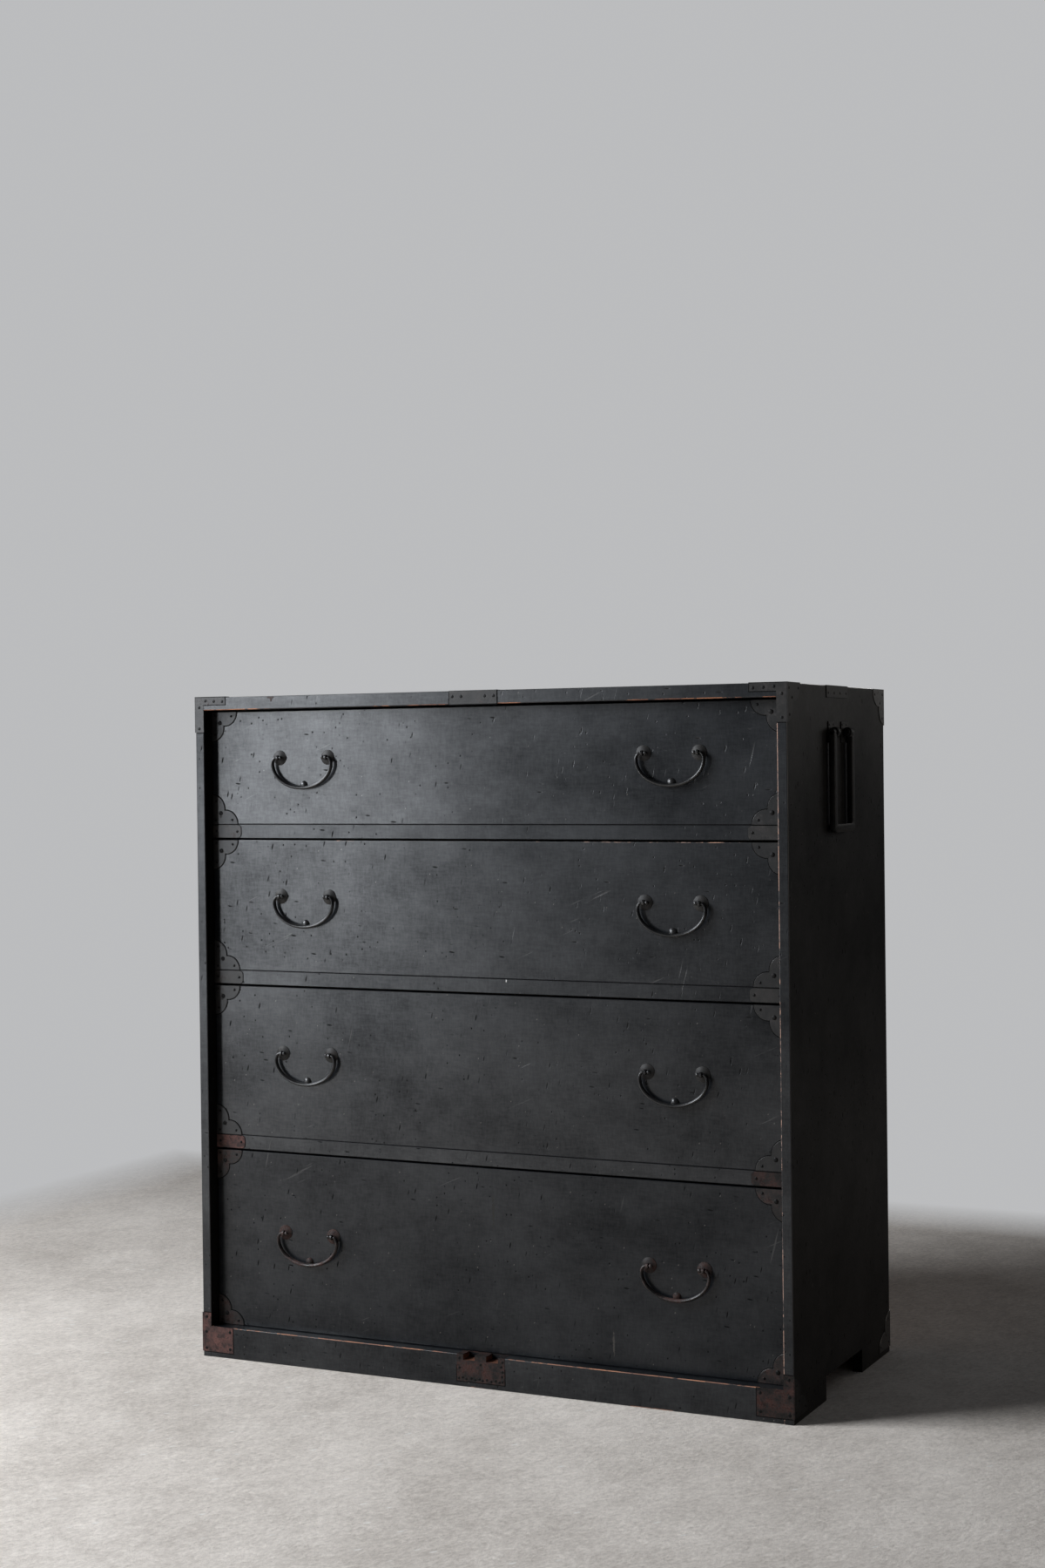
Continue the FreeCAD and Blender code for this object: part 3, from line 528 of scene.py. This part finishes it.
socket_centre = 18.5 * MM
socket_half = 9.5 * MM
socket_drop = 8 * MM
socket_reach = 20 * MM
flap_reach = 21.5 * MM
lock_plate_half = 38.25 * MM
iron_thickness = 1 * MM
nail_rise = 0.5 * MM
plate_skin = iron_thickness - nail_rise


def notched_top(half, top, seat):
    """The run of points along the ledge's top, from left to right, down into both sockets."""
    near, far, bottom = socket_centre - socket_half, socket_centre + socket_half, top - socket_drop
    return both_halves([(near, seat), (near, bottom), (far, bottom), (far, seat), (lock_plate_half, seat),
                        (lock_plate_half, top), (half, top)])


def bottom_front_rail():
    plain, pale, bare, foot, socket = range(5)
    low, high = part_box("bottom_front_rail")
    seat = high.z - iron_thickness
    bm = bmesh.new()
    outline = notched_top(high.x, high.z, seat) + [(high.x, 0), (-high.x, 0)]
    add_outline(bm, [(x, low.y, z) for x, z in outline], Y * socket_reach)
    add_box(bm, (low.x, low.y + socket_reach, 0), (high.x, high.y, seat - 0.2 * MM))
    add_box(bm, (low.x, low.y + flap_reach, seat - 0.4 * MM), (high.x, high.y, high.z))
    for face in bm.faces:
        middle = face.calc_center_median()
        if abs(middle.x) < lock_plate_half and high.z - socket_drop - TOUCH < middle.z < high.z - 2 * iron_thickness:
            face.material_index = socket if low.y + TOUCH < middle.y < low.y + flap_reach else plain
    soften(bm, edges_at(bm, y=low.y, z=high.z), 2 * arris, lambda place: bare if place.x > pale_wear_end else pale)
    soften(bm, edges_at(bm, y=low.y, z=0), arris, foot)
    place_on_case(bm, "bottom_front_rail", [lacquer_ledge, arris_pale, arris_bare, arris_foot, socket_wood])


def divider_rails():
    low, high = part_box("divider_rails")
    bm = bmesh.new()
    for number in divider_numbers:
        top = front_box(number)[0].z - 0.3 * MM
        rail = add_box(bm, (-inner_face, low.y, top - rail_height), (inner_face, high.y, top))
        level_edges = [edge for edge in edges_at(bm, among=rail, y=low.y) if span(edge, "z") < TOUCH]
        soften(bm, level_edges, 0.8 * MM)
    place_on_case(bm, "divider_rails", [lacquer_rails, arris_dirty])


side_board("side_left", -1)
side_board("side_right", 1)
top_board()
bottom_front_rail()
divider_rails()


# Iron on the case

plate_leg = 54 * MM
plate_lobe = 26 * MM
top_leg = 12 * MM
floor_gap = 8 * MM
foot_plate_rise = 20 * MM
# How far the near-black strip round some plates reaches, and how far it stands off the lacquer: a painted shadow along
# the plate's edge.
painted_shadow_line = 1.2 * MM
painted_shadow_rise = 0.2 * MM
end_plate_length = 51 * MM
end_plate_height = 20.2 * MM
strap_reach = 36 * MM
lobed_plate_nails = millimetres(((8, 8), (46, 8), (10, 44), (20, 21)))
lock_plate_nails = millimetres(((-35, 4), (-29, 5.5), (-23, 3.5), (-15, 5), (-9, 3.5), (-2, 5), (3, 3.5), (10, 5),
                                (17, 3.5), (24, 5), (30, 3.5), (35, 5), (-34, 19), (34, 12), (35, 19), (33, 26),
                                (0, 26), (-34, 33), (35, 33)))


def add_plate(bm, corner, opposite):
    """A flat plate with softened edges, which take the piece's second finish; on the straps and the top front plate
    that finish is a painted shadow line.
    """
    made = add_box(bm, corner, opposite)
    soften(bm, list({edge for vert in made for edge in vert.link_edges}), 0.3 * MM, segments=1)


def front_corner_plates():
    browned, rusty, dark_rust, dim, nail, painted_shadow = 0, 2, 3, 4, 5, 6
    bm = bmesh.new()
    skin = front_face - plate_skin
    ledge_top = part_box("bottom_front_rail")[1].z
    for sign in (-1, 1):
        outer = sign * (outer_face + iron_thickness)
        tip = outer - sign * plate_leg
        inner = sign * inner_face
        middle = (inner + outer) / 2
        for top in (True, False):
            if top:
                level, up, finish = top_high.z + iron_thickness, -Z, browned
                strip = (level - top_leg, level)
                leg = (level - plate_leg, level - top_leg)
                painted_shadow_leg = (leg[0] - painted_shadow_line, leg[1])
                add_box(bm, (tip, skin, top_high.z), (outer, front_face + top_leg, level), finish)
                places = [(tip + sign * 5 * MM, level - 7.5 * MM), (tip + sign * 20 * MM, level - 7 * MM),
                          (tip + sign * 35 * MM, level - 6 * MM), (middle, level - 16 * MM), (middle, level - 48 * MM)]
            else:
                level, up, finish = floor_gap, Z, rusty if sign < 0 else dark_rust
                strip = (floor_gap, ledge_top)
                leg = (ledge_top, ledge_top + foot_plate_rise)
                painted_shadow_leg = (leg[0], leg[1] + painted_shadow_line)
                places = [(tip + sign * 5 * MM, strip[0] + 6 * MM), (tip + sign * 5 * MM, strip[1] - 7 * MM),
                          (outer - sign * 7 * MM, strip[0] + 5 * MM), (outer - sign * 7 * MM, strip[1] - 9 * MM),
                          (middle, leg[1] - 6 * MM)]
            add_lobed_plate(bm, Vector((sign * outer_face, skin, level)), Y, up, X * sign, plate_leg, plate_lobe,
                            iron_thickness, dim, dim)
            add_box(bm, (tip, skin, strip[0]), (outer, front_face, strip[1]), finish)
            add_box(bm, (inner, skin, leg[0]), (outer, front_face, leg[1]), finish)
            # Near-black strips along the plates' inner and lower edges: a painted shadow.
            for x, low_z, high_z in ((tip - sign * painted_shadow_line, strip[0] - painted_shadow_line, strip[1]), (inner, *painted_shadow_leg)):
                add_box(bm, (x, front_face - painted_shadow_rise, low_z), (sign * (outer_face - MM), front_face, high_z), painted_shadow)
            for x, z in places:
                add_nail(bm, (x, skin, z), -Y, 2.4 * MM, nail_rise, nail)
            for along, rise in lobed_plate_nails:
                add_nail(bm, (outer, skin + along, level + up.z * rise), X, 2.1 * MM, 1.0 * MM, nail)
    place_on_case(bm, "front_corner_plates",
                  [iron_browned, iron_rim_rubbed_and_highlit, iron_rusty, iron_dark_rust, iron_shaded, iron_nail, iron_painted_shadow])


def rear_corner_plates():
    bm = bmesh.new()
    skin = back_face + plate_skin
    for sign in (-1, 1):
        outer = sign * (outer_face + iron_thickness)
        for level, up in ((top_high.z, -Z), (floor_gap, Z)):
            add_lobed_plate(bm, Vector((sign * outer_face, skin, level)), -Y, up, X * sign, plate_leg, plate_lobe,
                            iron_thickness)
            add_lobed_plate(bm, Vector((outer, back_face, level)), X * -sign, up, Y, plate_leg, plate_lobe, plate_skin)
            for along, rise in lobed_plate_nails:
                z = level + up.z * rise
                add_nail(bm, (outer, skin - along, z), X, 2.1 * MM, 1.0 * MM)
                add_nail(bm, (outer - sign * along, skin, z), Y, 2.1 * MM, nail_rise)
    place_on_case(bm, "rear_corner_plates", [iron_browned, iron_rim_rubbed_and_highlit])


def divider_end_plates():
    browned, outline, rusty, dark_rust, nail = range(5)
    bm = bmesh.new()
    low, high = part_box("divider_end_plates")
    for number in divider_numbers:
        top = front_box(number)[0].z - 0.7 * MM
        bottom = top - end_plate_height
        for sign in (-1, 1):
            finish = browned if number != rustiest_divider else rusty if sign < 0 else dark_rust
            inner = sign * high.x
            tip = inner - sign * end_plate_length
            plate = add_box(bm, (inner, low.y, bottom), (tip, high.y, top), finish)
            corners = [edge for edge in edges_at(bm, among=plate, x=tip) if span(edge, "y") > TOUCH]
            bevelled(bm, corners, 6.0 * MM, 5)
            # The plate's front rim takes the near-black finish: a painted shadow line along its edge.
            rim = [edge for edge in edges_at(bm, y=low.y)
                   if min(abs(vert.co.x - tip) for vert in edge.verts) < end_plate_length
                   and all(bottom - TOUCH < vert.co.z < top + TOUCH and vert.co.x * sign > 0 for vert in edge.verts)]
            soften(bm, rim, 0.6 * MM, outline, segments=1)
            for along in (7 * MM, end_plate_length - 7 * MM):
                place = (inner - sign * along, low.y - 0.1 * MM, (top + bottom) / 2)
                add_nail(bm, place, -Y, 2.1 * MM, 1.0 * MM, nail)
    place_on_case(bm, "divider_end_plates", [iron_browned, iron_painted_shadow, iron_rusty, iron_dark_rust, iron_nail])


def top_front_plate():
    painted_shadow, nail = 1, 2
    low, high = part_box("top_front_plate")
    bm = bmesh.new()
    skin = low.y + nail_rise
    level = high.z - nail_rise
    add_plate(bm, (low.x, skin, low.z), (high.x, front_face, level))
    add_plate(bm, (low.x, skin + 0.2 * MM, top_high.z), (high.x, high.y, level))
    # A near-black sheet just larger than the plate: a painted shadow round it.
    add_box(bm, (low.x - painted_shadow_line, front_face - painted_shadow_rise, low.z - painted_shadow_line),
            (high.x + painted_shadow_line, front_face, top_high.z), painted_shadow)
    for x in (-33 * MM, -19 * MM, 19 * MM, 33 * MM):
        add_nail(bm, (x, skin, high.z - 9 * MM), -Y, 2.4 * MM, nail_rise, nail)
        add_nail(bm, (x, front_face + 10 * MM, level), Z, 1.9 * MM, nail_rise, nail)
    place_on_case(bm, "top_front_plate", [iron_browned, iron_painted_shadow, iron_nail])


def lock_plate():
    nail, painted_shadow = 1, 2
    low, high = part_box("lock_plate")
    bm = bmesh.new()
    top = high.z
    outline = notched_top(high.x, top, top)
    outline = [point for index, point in enumerate(outline) if point not in outline[:index]]
    outline += [(high.x, low.z), (low.x, low.z)]
    skin = low.y + nail_rise
    add_outline(bm, [(x, skin, z) for x, z in outline], Y * plate_skin)
    ends = (-high.x, -socket_centre - socket_half, -socket_centre + socket_half, socket_centre - socket_half,
            socket_centre + socket_half, high.x)
    for start, end in zip(ends[::2], ends[1::2]):
        add_box(bm, (start, front_face, top - iron_thickness), (end, front_face + socket_reach, top))
    add_box(bm, (-high.x, front_face + socket_reach, top - iron_thickness), (high.x, front_face + flap_reach, top))
    for x, rise in lock_plate_nails:
        add_nail(bm, (x, skin, low.z + rise), -Y, 2.0 * MM, nail_rise, nail)
    # A near-black sheet just larger than the plate: a painted shadow round it.
    add_box(bm, (low.x - painted_shadow_line, front_face - painted_shadow_rise, low.z - painted_shadow_line),
            (high.x + painted_shadow_line, front_face, top - 2 * socket_drop), painted_shadow)
    place_on_case(bm, "lock_plate", [iron_dark_rust, iron_nail, iron_painted_shadow])


def side_straps():
    bm = bmesh.new()
    low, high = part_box("side_straps")
    level = high.z - nail_rise
    for sign in (-1, 1):
        outer = sign * high.x
        face = sign * outer_face
        inner = face - sign * strap_reach
        add_plate(bm, (face, low.y, low.z), (outer, high.y, level))
        add_plate(bm, (inner, low.y, top_high.z), (outer, high.y, level))
        for share in (0.08, 0.36, 0.64, 0.92):
            y = low.y + (high.y - low.y) * share
            add_nail(bm, (outer, y, low.z + 7 * MM), X, 2.0 * MM, 0.9 * MM)
            add_nail(bm, (inner + sign * 6 * MM, y, level), Z, 2.0 * MM, nail_rise)
    place_on_case(bm, "side_straps", [iron_shaded, iron_painted_shadow])


front_corner_plates()
rear_corner_plates()
divider_end_plates()
top_front_plate()
lock_plate()
side_straps()


# Carrying bails and their lugs

carrying_width = 92 * MM
carrying_leg = 12 * MM
carrying_thickness = 9 * MM
carrying_length = 142 * MM
carrying_corner = 9 * MM
carrying_pin = 4 * MM
carrying_head = 5 * MM
carrying_play = 0.5 * MM
lug_width = 9 * MM
lug_outer = 7.1 * MM
lug_plate_half = 13 * MM
lug_plate_thickness = 1.5 * MM


def carrying_axis(sign):
    low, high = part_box("carrying_bail_right")
    return Vector((sign * (low.x + high.x) / 2, (low.y + high.y) / 2, low.z + carrying_length))


def carrying_bail(side, sign):
    axis = carrying_axis(sign)
    bm = bmesh.new()
    half = carrying_width / 2
    thick = carrying_thickness / 2
    near = axis.x - thick
    low = axis.z - carrying_length
    inner_half = half - carrying_leg
    outline = both_halves([(inner_half, low + carrying_leg), (inner_half, axis.z), (half, axis.z), (half, low)])
    add_outline(bm, [(near, axis.y + y, z) for y, z in outline], X * carrying_thickness)
    corners = [edge for edge in bm.edges if span(edge, "x") > TOUCH
               and all(vert.co.z < axis.z - TOUCH for vert in edge.verts)]
    outer = [edge for edge in corners if abs(edge.verts[0].co.z - low) < TOUCH]
    inner = [edge for edge in corners if edge not in outer]
    bevelled(bm, outer, carrying_corner, 6)
    bevelled(bm, [edge for edge in inner if edge.is_valid], 4.0 * MM, 4)
    rims = edges_at(bm, x=near) + edges_at(bm, x=near + carrying_thickness)
    rims = [edge for edge in rims if any(vert.co.z < axis.z - TOUCH for vert in edge.verts)]
    soften(bm, rims, 1.6 * MM, 0)
    pin_length = 2 * carrying_play + lug_width
    head = carrying_head
    for end in (-1, 1):
        outside = axis + Y * end * half
        inside = outside - Y * end * carrying_leg
        add_turned(bm, [(0, 0), (thick, 0), (thick, carrying_leg), (0, carrying_leg)], outside, Y * -end)
        pin = [(0, 0), (carrying_pin, 0), (carrying_pin, pin_length), (head, pin_length),
               (head, pin_length + 2.2 * MM), (head - 0.8 * MM, pin_length + 3 * MM), (0, pin_length + 3 * MM)]
        add_turned(bm, pin, inside, Y * -end)
    name = "carrying_bail_" + side
    place_piece(bm, "carrying_loop_" + side, name, name, [iron_shaded], smooth=True)


def carrying_lugs():
    bm = bmesh.new()
    hole = carrying_pin + 0.1 * MM
    rounded = 0.6 * MM
    centre = carrying_width / 2 - carrying_leg - carrying_play - lug_width / 2
    plate_low, plate_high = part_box("carrying_lugs")
    for sign in (-1, 1):
        axis = carrying_axis(sign)
        face = sign * outer_face
        plate_face = face + sign * lug_plate_thickness
        for end in (-1, 1):
            start = axis + Y * (end * centre - lug_width / 2)
            ring = [(hole, 0), (lug_outer - rounded, 0), (lug_outer, rounded), (lug_outer, lug_width - rounded),
                    (lug_outer - rounded, lug_width), (hole, lug_width), (hole, 0)]
            add_turned(bm, ring, start, Y)
            middle = axis.y + end * centre
            add_plate(bm, (face, middle - lug_plate_half, plate_low.z),
                      (plate_face, middle + lug_plate_half, plate_high.z))
            for level in (plate_low.z + 4.5 * MM, plate_high.z - 4.5 * MM):
                for along in (-9 * MM, 9 * MM):
                    add_nail(bm, (plate_face, middle + along, level), X, 1.9 * MM, 0.9 * MM)
    place_on_case(bm, "carrying_lugs", [iron_shaded, iron_shaded], smooth=True)


for side, sign in (("left", -1), ("right", 1)):
    carrying_bail(side, sign)
carrying_lugs()


# Drawers

front_lip = 8 * MM
drawer_plate_leg = 44 * MM
drawer_plate_lobe = 21 * MM
drawer_plate_nails = millimetres(((34.5, 6.5, 2.0), (5.5, 5.5, 2.0), (6.0, 34.5, 2.0), (14.5, 16.5, 3.4)))
eye_spacing = 83 * MM
eye_standoff = 7 * MM
eye_ring = millimetres(((1.9, 0.5), (2.3, 0), (3.4, 0), (3.9, 0.6), (3.9, 3.4), (3.4, 4.0), (2.3, 4.0), (1.9, 3.5),
                        (1.9, 0.5)))
knob_radius = 2.9 * MM
rosette_outline = millimetres(((0, 3.0), (2.4, 2.96), (5.0, 2.62), (7.4, 2.05), (9.3, 1.35), (10.4, 0.95),
                               (11.0, 0.75), (11.2, 0.45), (11.2, 0)))
striker_outline = millimetres(((0, 3.6), (1.8, 3.5), (3.4, 3.05), (4.8, 2.25), (5.8, 1.25), (6.3, 0.6), (6.5, 0)))
striker_drop = 41 * MM


def drawer_front(number):
    dirty, worn = 1, 2
    low, high = front_box(number)
    bm = bmesh.new()
    add_box(bm, low, (high.x, low.y + front_lip, high.z))
    soften(bm, edges_at(bm, y=low.y), 1.0 * MM,
           lambda place: worn if place.z > high.z - 2 * MM and number == worn_drawer else dirty)
    core_half = high.x - 9.0 * MM
    add_box(bm, (-core_half, low.y + front_lip - 0.5 * MM, low.z + 6.0 * MM), (core_half, high.y, high.z))
    place_on_drawer(bm, number, "lacquered_front", "front", [lacquer_fronts[number], arris_dirty, arris_drawer])


def drawer_corner_plates(number):
    nail, painted_shadow = 2, 3
    low, high = front_box(number)
    skin = low.y - iron_thickness - 0.1 * MM
    bm = bmesh.new()
    for sign in (-1, 1):
        inward = X * -sign
        for level, up in ((low.z, Z), (high.z, -Z)):
            corner = Vector((sign * high.x, low.y, level))
            # A slightly larger, thin near-black copy of each plate under it: a painted shadow round its edge.
            add_lobed_plate(bm, corner, inward, up, -Y, drawer_plate_leg + painted_shadow_line, drawer_plate_lobe + painted_shadow_line,
                            0.3 * MM, painted_shadow, painted_shadow)
            add_lobed_plate(bm, corner, inward, up, -Y, drawer_plate_leg, drawer_plate_lobe, iron_thickness)
            for along, rise, radius in drawer_plate_nails:
                place = corner + inward * along + up * rise
                add_nail(bm, (place.x, skin, place.z), -Y, radius, 1.1 * MM, nail)
    plate_iron = iron_low_lobed if number == lowest_drawer else iron_lobed
    place_on_drawer(bm, number, "lobed_plates", "corner_plates", [plate_iron, iron_rim_rubbed_and_highlit, iron_nail, iron_painted_shadow])


def handle_hubs(number):
    """The middle of the line between the two eyes of each handle of a drawer."""
    hubs = {}
    for side in ("left", "right"):
        low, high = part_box("drawer_%d_bail_%s" % (number, side))
        hubs[side] = Vector(((low.x + high.x) / 2, front_box(number)[0].y, high.z - knob_radius))
    return hubs


def eyes_of(number):
    return [hub + X * sign * eye_spacing / 2 for hub in handle_hubs(number).values() for sign in (-1, 1)]


def drawer_domes(number, name, node_name, outline, places, steps, finish):
    """The same turned shape at several places of a drawer's front."""
    bm = bmesh.new()
    for place in places:
        add_turned(bm, outline, place, -Y, steps)
    place_on_drawer(bm, number, name, node_name, [finish], smooth=True)


def drawer_posts(number):
    """Each eye on its shank, which is clinched over inside the drawer."""
    bm = bmesh.new()
    inside = front_box(number)[1].y
    half = 1.7 * MM
    for eye in eyes_of(number):
        axis = eye - Y * eye_standoff
        end = inside + 1.6 * MM
        add_turned(bm, eye_ring, axis - X * 2 * MM, X, steps=24)
        add_box(bm, (axis.x - half, axis.y + 2.9 * MM, axis.z - half), (axis.x + half, end, axis.z + half))
        add_box(bm, (axis.x - half, inside, axis.z - 12 * MM), (axis.x + half, end, axis.z + 12 * MM))
    finish = iron_low_handles if number == lowest_drawer else iron_black
    place_on_drawer(bm, number, "clinched_eyes", "posts", [finish], smooth=True)


bail_half_span = 50.5 * MM
bail_shoulder_drop = 9 * MM
bail_drop = 45 * MM
bail_tip = 44 * MM
bail_half_section = millimetres(((0.35, 3.0), (0.9, 2.7), (1.55, 2.0), (2.15, 1.15), (2.5, 0.1), (2.4, -2.1),
                                 (1.7, -2.9)))
bail_end_size, bail_shoulder_size, bail_middle_size = 0.6, 0.94, 1.04
shoulder_steps = 6
belly_steps = 16
pin_radius = 1.5 * MM
pin_root = 1 * MM
pin_reach = 7.5 * MM
knob_outline = millimetres(((0, 0), (1.6, 0), (2.5, 0.8), (2.9, 1.9), (2.9, 3.0), (2.5, 4.2), (1.6, 5.1), (0, 5.4)))


def bail_stations():
    """Places, headings and sizes along the right half of a bail, from its eye to the middle."""
    right = []
    reach = bail_half_span - bail_tip
    for index in range(shoulder_steps):
        way = index / shoulder_steps
        angle = math.pi / 2 * way
        heading = math.atan2(-bail_shoulder_drop * math.sin(angle), reach * math.cos(angle))
        right.append((bail_tip + reach * math.sin(angle), bail_shoulder_drop * (math.cos(angle) - 1), heading,
                      bail_end_size + (bail_shoulder_size - bail_end_size) * way))
    belly = bail_drop - bail_shoulder_drop
    for index in range(belly_steps + 1):
        angle = math.pi / 2 * index / belly_steps
        heading = math.atan2(-belly * math.cos(angle), -bail_half_span * math.sin(angle))
        right.append((bail_half_span * math.cos(angle), -bail_shoulder_drop - belly * math.sin(angle), heading,
                      bail_shoulder_size + (bail_middle_size - bail_shoulder_size) * math.sin(angle)))
    return right


def station_matrix(hub, station):
    """Sizes, turns and places the bail's section."""
    x, z, heading, size = station
    return (Matrix.Translation(hub + Vector((x, 0, z))) @ Matrix.Rotation(math.pi / 2 - heading, 4, "Y")
            @ Matrix.Diagonal((size, -size, 1, 1)))


def drawer_bail(number, side):
    name = "drawer_%d_bail_%s" % (number, side)
    hub = handle_hubs(number)[side] - Y * eye_standoff
    right = bail_stations()
    left = [(-x, z, -heading, size) for x, z, heading, size in reversed(right[:-1])]
    stations = [station_matrix(hub, station) for station in right + left]
    bm = bmesh.new()
    ring = [bm.verts.new((u, v, 0)) for u, v in both_halves(bail_half_section)]
    edges = list(bm.faces.new(ring).edges)
    bmesh.ops.transform(bm, matrix=stations[0], verts=ring)
    for before, after in zip(stations, stations[1:]):
        made = bmesh.ops.extrude_edge_only(bm, edges=edges)["geom"]
        edges = of_kind(made, bmesh.types.BMEdge)
        bmesh.ops.transform(bm, matrix=after @ before.inverted(), verts=of_kind(made, bmesh.types.BMVert))
    bmesh.ops.holes_fill(bm, edges=edges, sides=0)
    pin = [(0, -pin_root), (pin_radius, -pin_root), (pin_radius, pin_reach), (0, pin_reach)]
    for end in (-1, 1):
        knob_face = hub + X * end * (eye_spacing / 2 - 2.5 * MM)
        add_turned(bm, pin, knob_face, X * end, steps=16)
        add_turned(bm, knob_outline, knob_face, X * -end, steps=16)
    finish = iron_low_handles if number == lowest_drawer else iron_black
    place_piece(bm, name.replace("_bail_", "_forged_bail_"), name, name, [finish], smooth=True)


for number in drawer_numbers:
    drawer_front(number)
    drawer_corner_plates(number)
    drawer_domes(number, "domed_rosettes", "rosettes", rosette_outline, eyes_of(number), 32,
                 iron_low_domed if number == lowest_drawer else iron_domed)
    drawer_posts(number)
    stud_places = [hub - Z * striker_drop for hub in handle_hubs(number).values()]
    drawer_domes(number, "striker_studs", "strikers", striker_outline, stud_places, 24,
                 iron_low_domed if number == lowest_drawer else iron_black)
    drawer_bail(number, "left")
    drawer_bail(number, "right")

# CAD nodes that keep their shape and take a finish
wood_of_nodes = {"back_boards": cedar_back, "bottom_board": paulownia_x, "bottom_rear_rail": cedar_back,
                 "shelves": paulownia_x, "drawer_stops": paulownia_x}
for number in drawer_numbers:
    wood_of_nodes.update({"drawer_%d_sides" % number: paulownia_y, "drawer_%d_back" % number: paulownia_x,
                          "drawer_%d_bottom" % number: paulownia_x})
for node_name, finish in wood_of_nodes.items():
    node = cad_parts[node_name]
    node.data.materials.clear()
    node.data.materials.append(finish)


# Floor, light and camera

backdrop_tone = (0.5, 0.505, 0.515)
air_tone = (0.047, 0.05, 0.055)
floor_dark = (0.58, 0.513, 0.45)
floor_light = (1.0, 0.912, 0.822)
chalk_tone = (1.0, 0.97, 0.92)
# The camera's yaw, pitch and roll in degrees, its place, and its lens in millimetres
camera_angles = (-25.832, -0.527, -0.659)
camera_place = (1.5207, -3.1997, 0.8955)
sensor = 36.0
focal_length = 2689.9 / 1800 * sensor


def pale_floor():
    """A pale floor that turns into the backdrop a little way behind the chest."""
    bm = bmesh.new()
    bmesh.ops.create_grid(bm, x_segments=1, y_segments=1, size=14.0)
    finish, tree, shader, place = start_finish("pale_floor")
    cloud = noise(tree, place, 2.6, stretch=(1, 0.6, 1), turn=(0, 0, 0.4), detail=12.0, roughness=0.72)
    strokes = noise(tree, place, 34.0, stretch=(1, 0.45, 1), turn=(0, 0, -0.5), detail=10.0, roughness=0.8)
    grit = noise(tree, place, 170.0, stretch=(1, 0.5, 1), turn=(0, 0, -0.4), detail=6.0, roughness=0.85)
    worn = weighed(tree, (cloud, 0.34), (strokes, 0.2), (grit, 0.46))
    tone = blend(tree, ranged(tree, worn, 0.42, 0.58), floor_dark, floor_light)
    chalk = dots(tree, place, 60.0, stretch=(1, 0.35, 1), turn=(0, 0, -0.6), reach=0.14, kept=0.35)
    feed(tree, shader, Base_Color=blend(tree, maths(tree, "MULTIPLY", chalk, 0.7), tone, chalk_tone), Roughness=0.8)
    parts = add_node(tree, "ShaderNodeSeparateXYZ", Vector=place).outputs
    behind = ranged(tree, parts[1], 1.12, 1.38)
    aside = ranged(tree, parts[0], -1.36, -1.62)
    seen = add_node(tree, "ShaderNodeLightPath").outputs["Is Camera Ray"]
    far = maths(tree, "MULTIPLY", maths(tree, "MAXIMUM", behind, aside), seen)
    glow = add_node(tree, "ShaderNodeEmission", Color=opaque(backdrop_tone))
    mixed = add_node(tree, "ShaderNodeMixShader", in0=far, in1=shader.outputs[0], in2=glow.outputs[0])
    feed(tree, tree.nodes["Material Output"], Surface=mixed.outputs[0])
    bumped(tree, shader, weighed(tree, (strokes, 0.5), (grit, 0.35)), 0.6, 6.0 * MM)
    made = mesh_in_scene(bm, "floor", [finish])
    return made


def soft_light(name, place, aim, width, height, power, colour, unlit=None):
    """A soft light that the camera doesn't see. It doesn't fall on the floor where that is given as unlit."""
    lamp = bpy.data.lights.new(name, "AREA")
    lamp.shape = "RECTANGLE"
    lamp.size, lamp.size_y, lamp.energy, lamp.color = width, height, power, colour
    lamp_object = in_scene(name, lamp)
    lamp_object.location = place
    lamp_object.rotation_euler = (Vector(aim) - Vector(place)).to_track_quat("-Z", "Y").to_euler()
    lamp_object.visible_camera = False
    if unlit is not None:
        left_out = bpy.data.collections.new("not_lit_by_" + name)
        left_out.objects.link(unlit)
        left_out.collection_objects[0].light_linking.link_state = "EXCLUDE"
        lamp_object.light_linking.receiver_collection = left_out


def studio_air():
    world = bpy.data.worlds.new("studio_air")
    bpy.context.scene.world = world
    world.use_nodes = True
    tree = world.node_tree
    seen = add_node(tree, "ShaderNodeLightPath").outputs["Is Camera Ray"]
    feed(tree, tree.nodes["Background"], Color=blend(tree, seen, air_tone, backdrop_tone))


def photo_camera():
    """The camera stands where the photograph was taken from."""
    yaw, pitch, roll = (math.radians(angle) for angle in camera_angles)
    lens = bpy.data.cameras.new("photo_camera")
    lens.sensor_width = sensor
    lens.lens = focal_length
    camera = in_scene("photo_camera", lens)
    camera.matrix_world = (Matrix.Translation(camera_place) @ Matrix.Rotation(-yaw, 4, "Z")
                           @ Matrix.Rotation(math.pi / 2 + pitch, 4, "X") @ Matrix.Rotation(roll, 4, "Z"))
    bpy.context.scene.camera = camera


floor = pale_floor()
cool = (0.895, 0.942, 1.0)
warm = (1.0, 0.97, 0.93)
amber = (1.0, 0.93, 0.84)
soft_light("window_light", (-2.4, -1.86, 2.05), (0.0, -1.61, 1.1), 1.74, 1.45, 172.0, cool)
soft_light("low_window_pane", (-1.62, -2.36, 0.81), (-0.28, -0.2, 0.76), 0.3, 1.12, 13.4, cool, floor)
soft_light("light_off_the_wall_behind", (1.36, 1.9, 1.36), (0.49, 0.0, 1.00), 0.8, 0.7, 1.3, warm)
soft_light("fill_on_the_right_side", (3.6, 0.8, 1.6), (0.49, 0.0, 0.55), 2.0, 2.0, 22.0, amber, floor)
soft_light("fill_on_the_back", (-0.9, 3.2, 1.9), (0.0, 0.2, 0.5), 1.6, 1.6, 45.0, warm, floor)
studio_air()
photo_camera()
bpy.context.scene.view_settings.view_transform = "Standard"
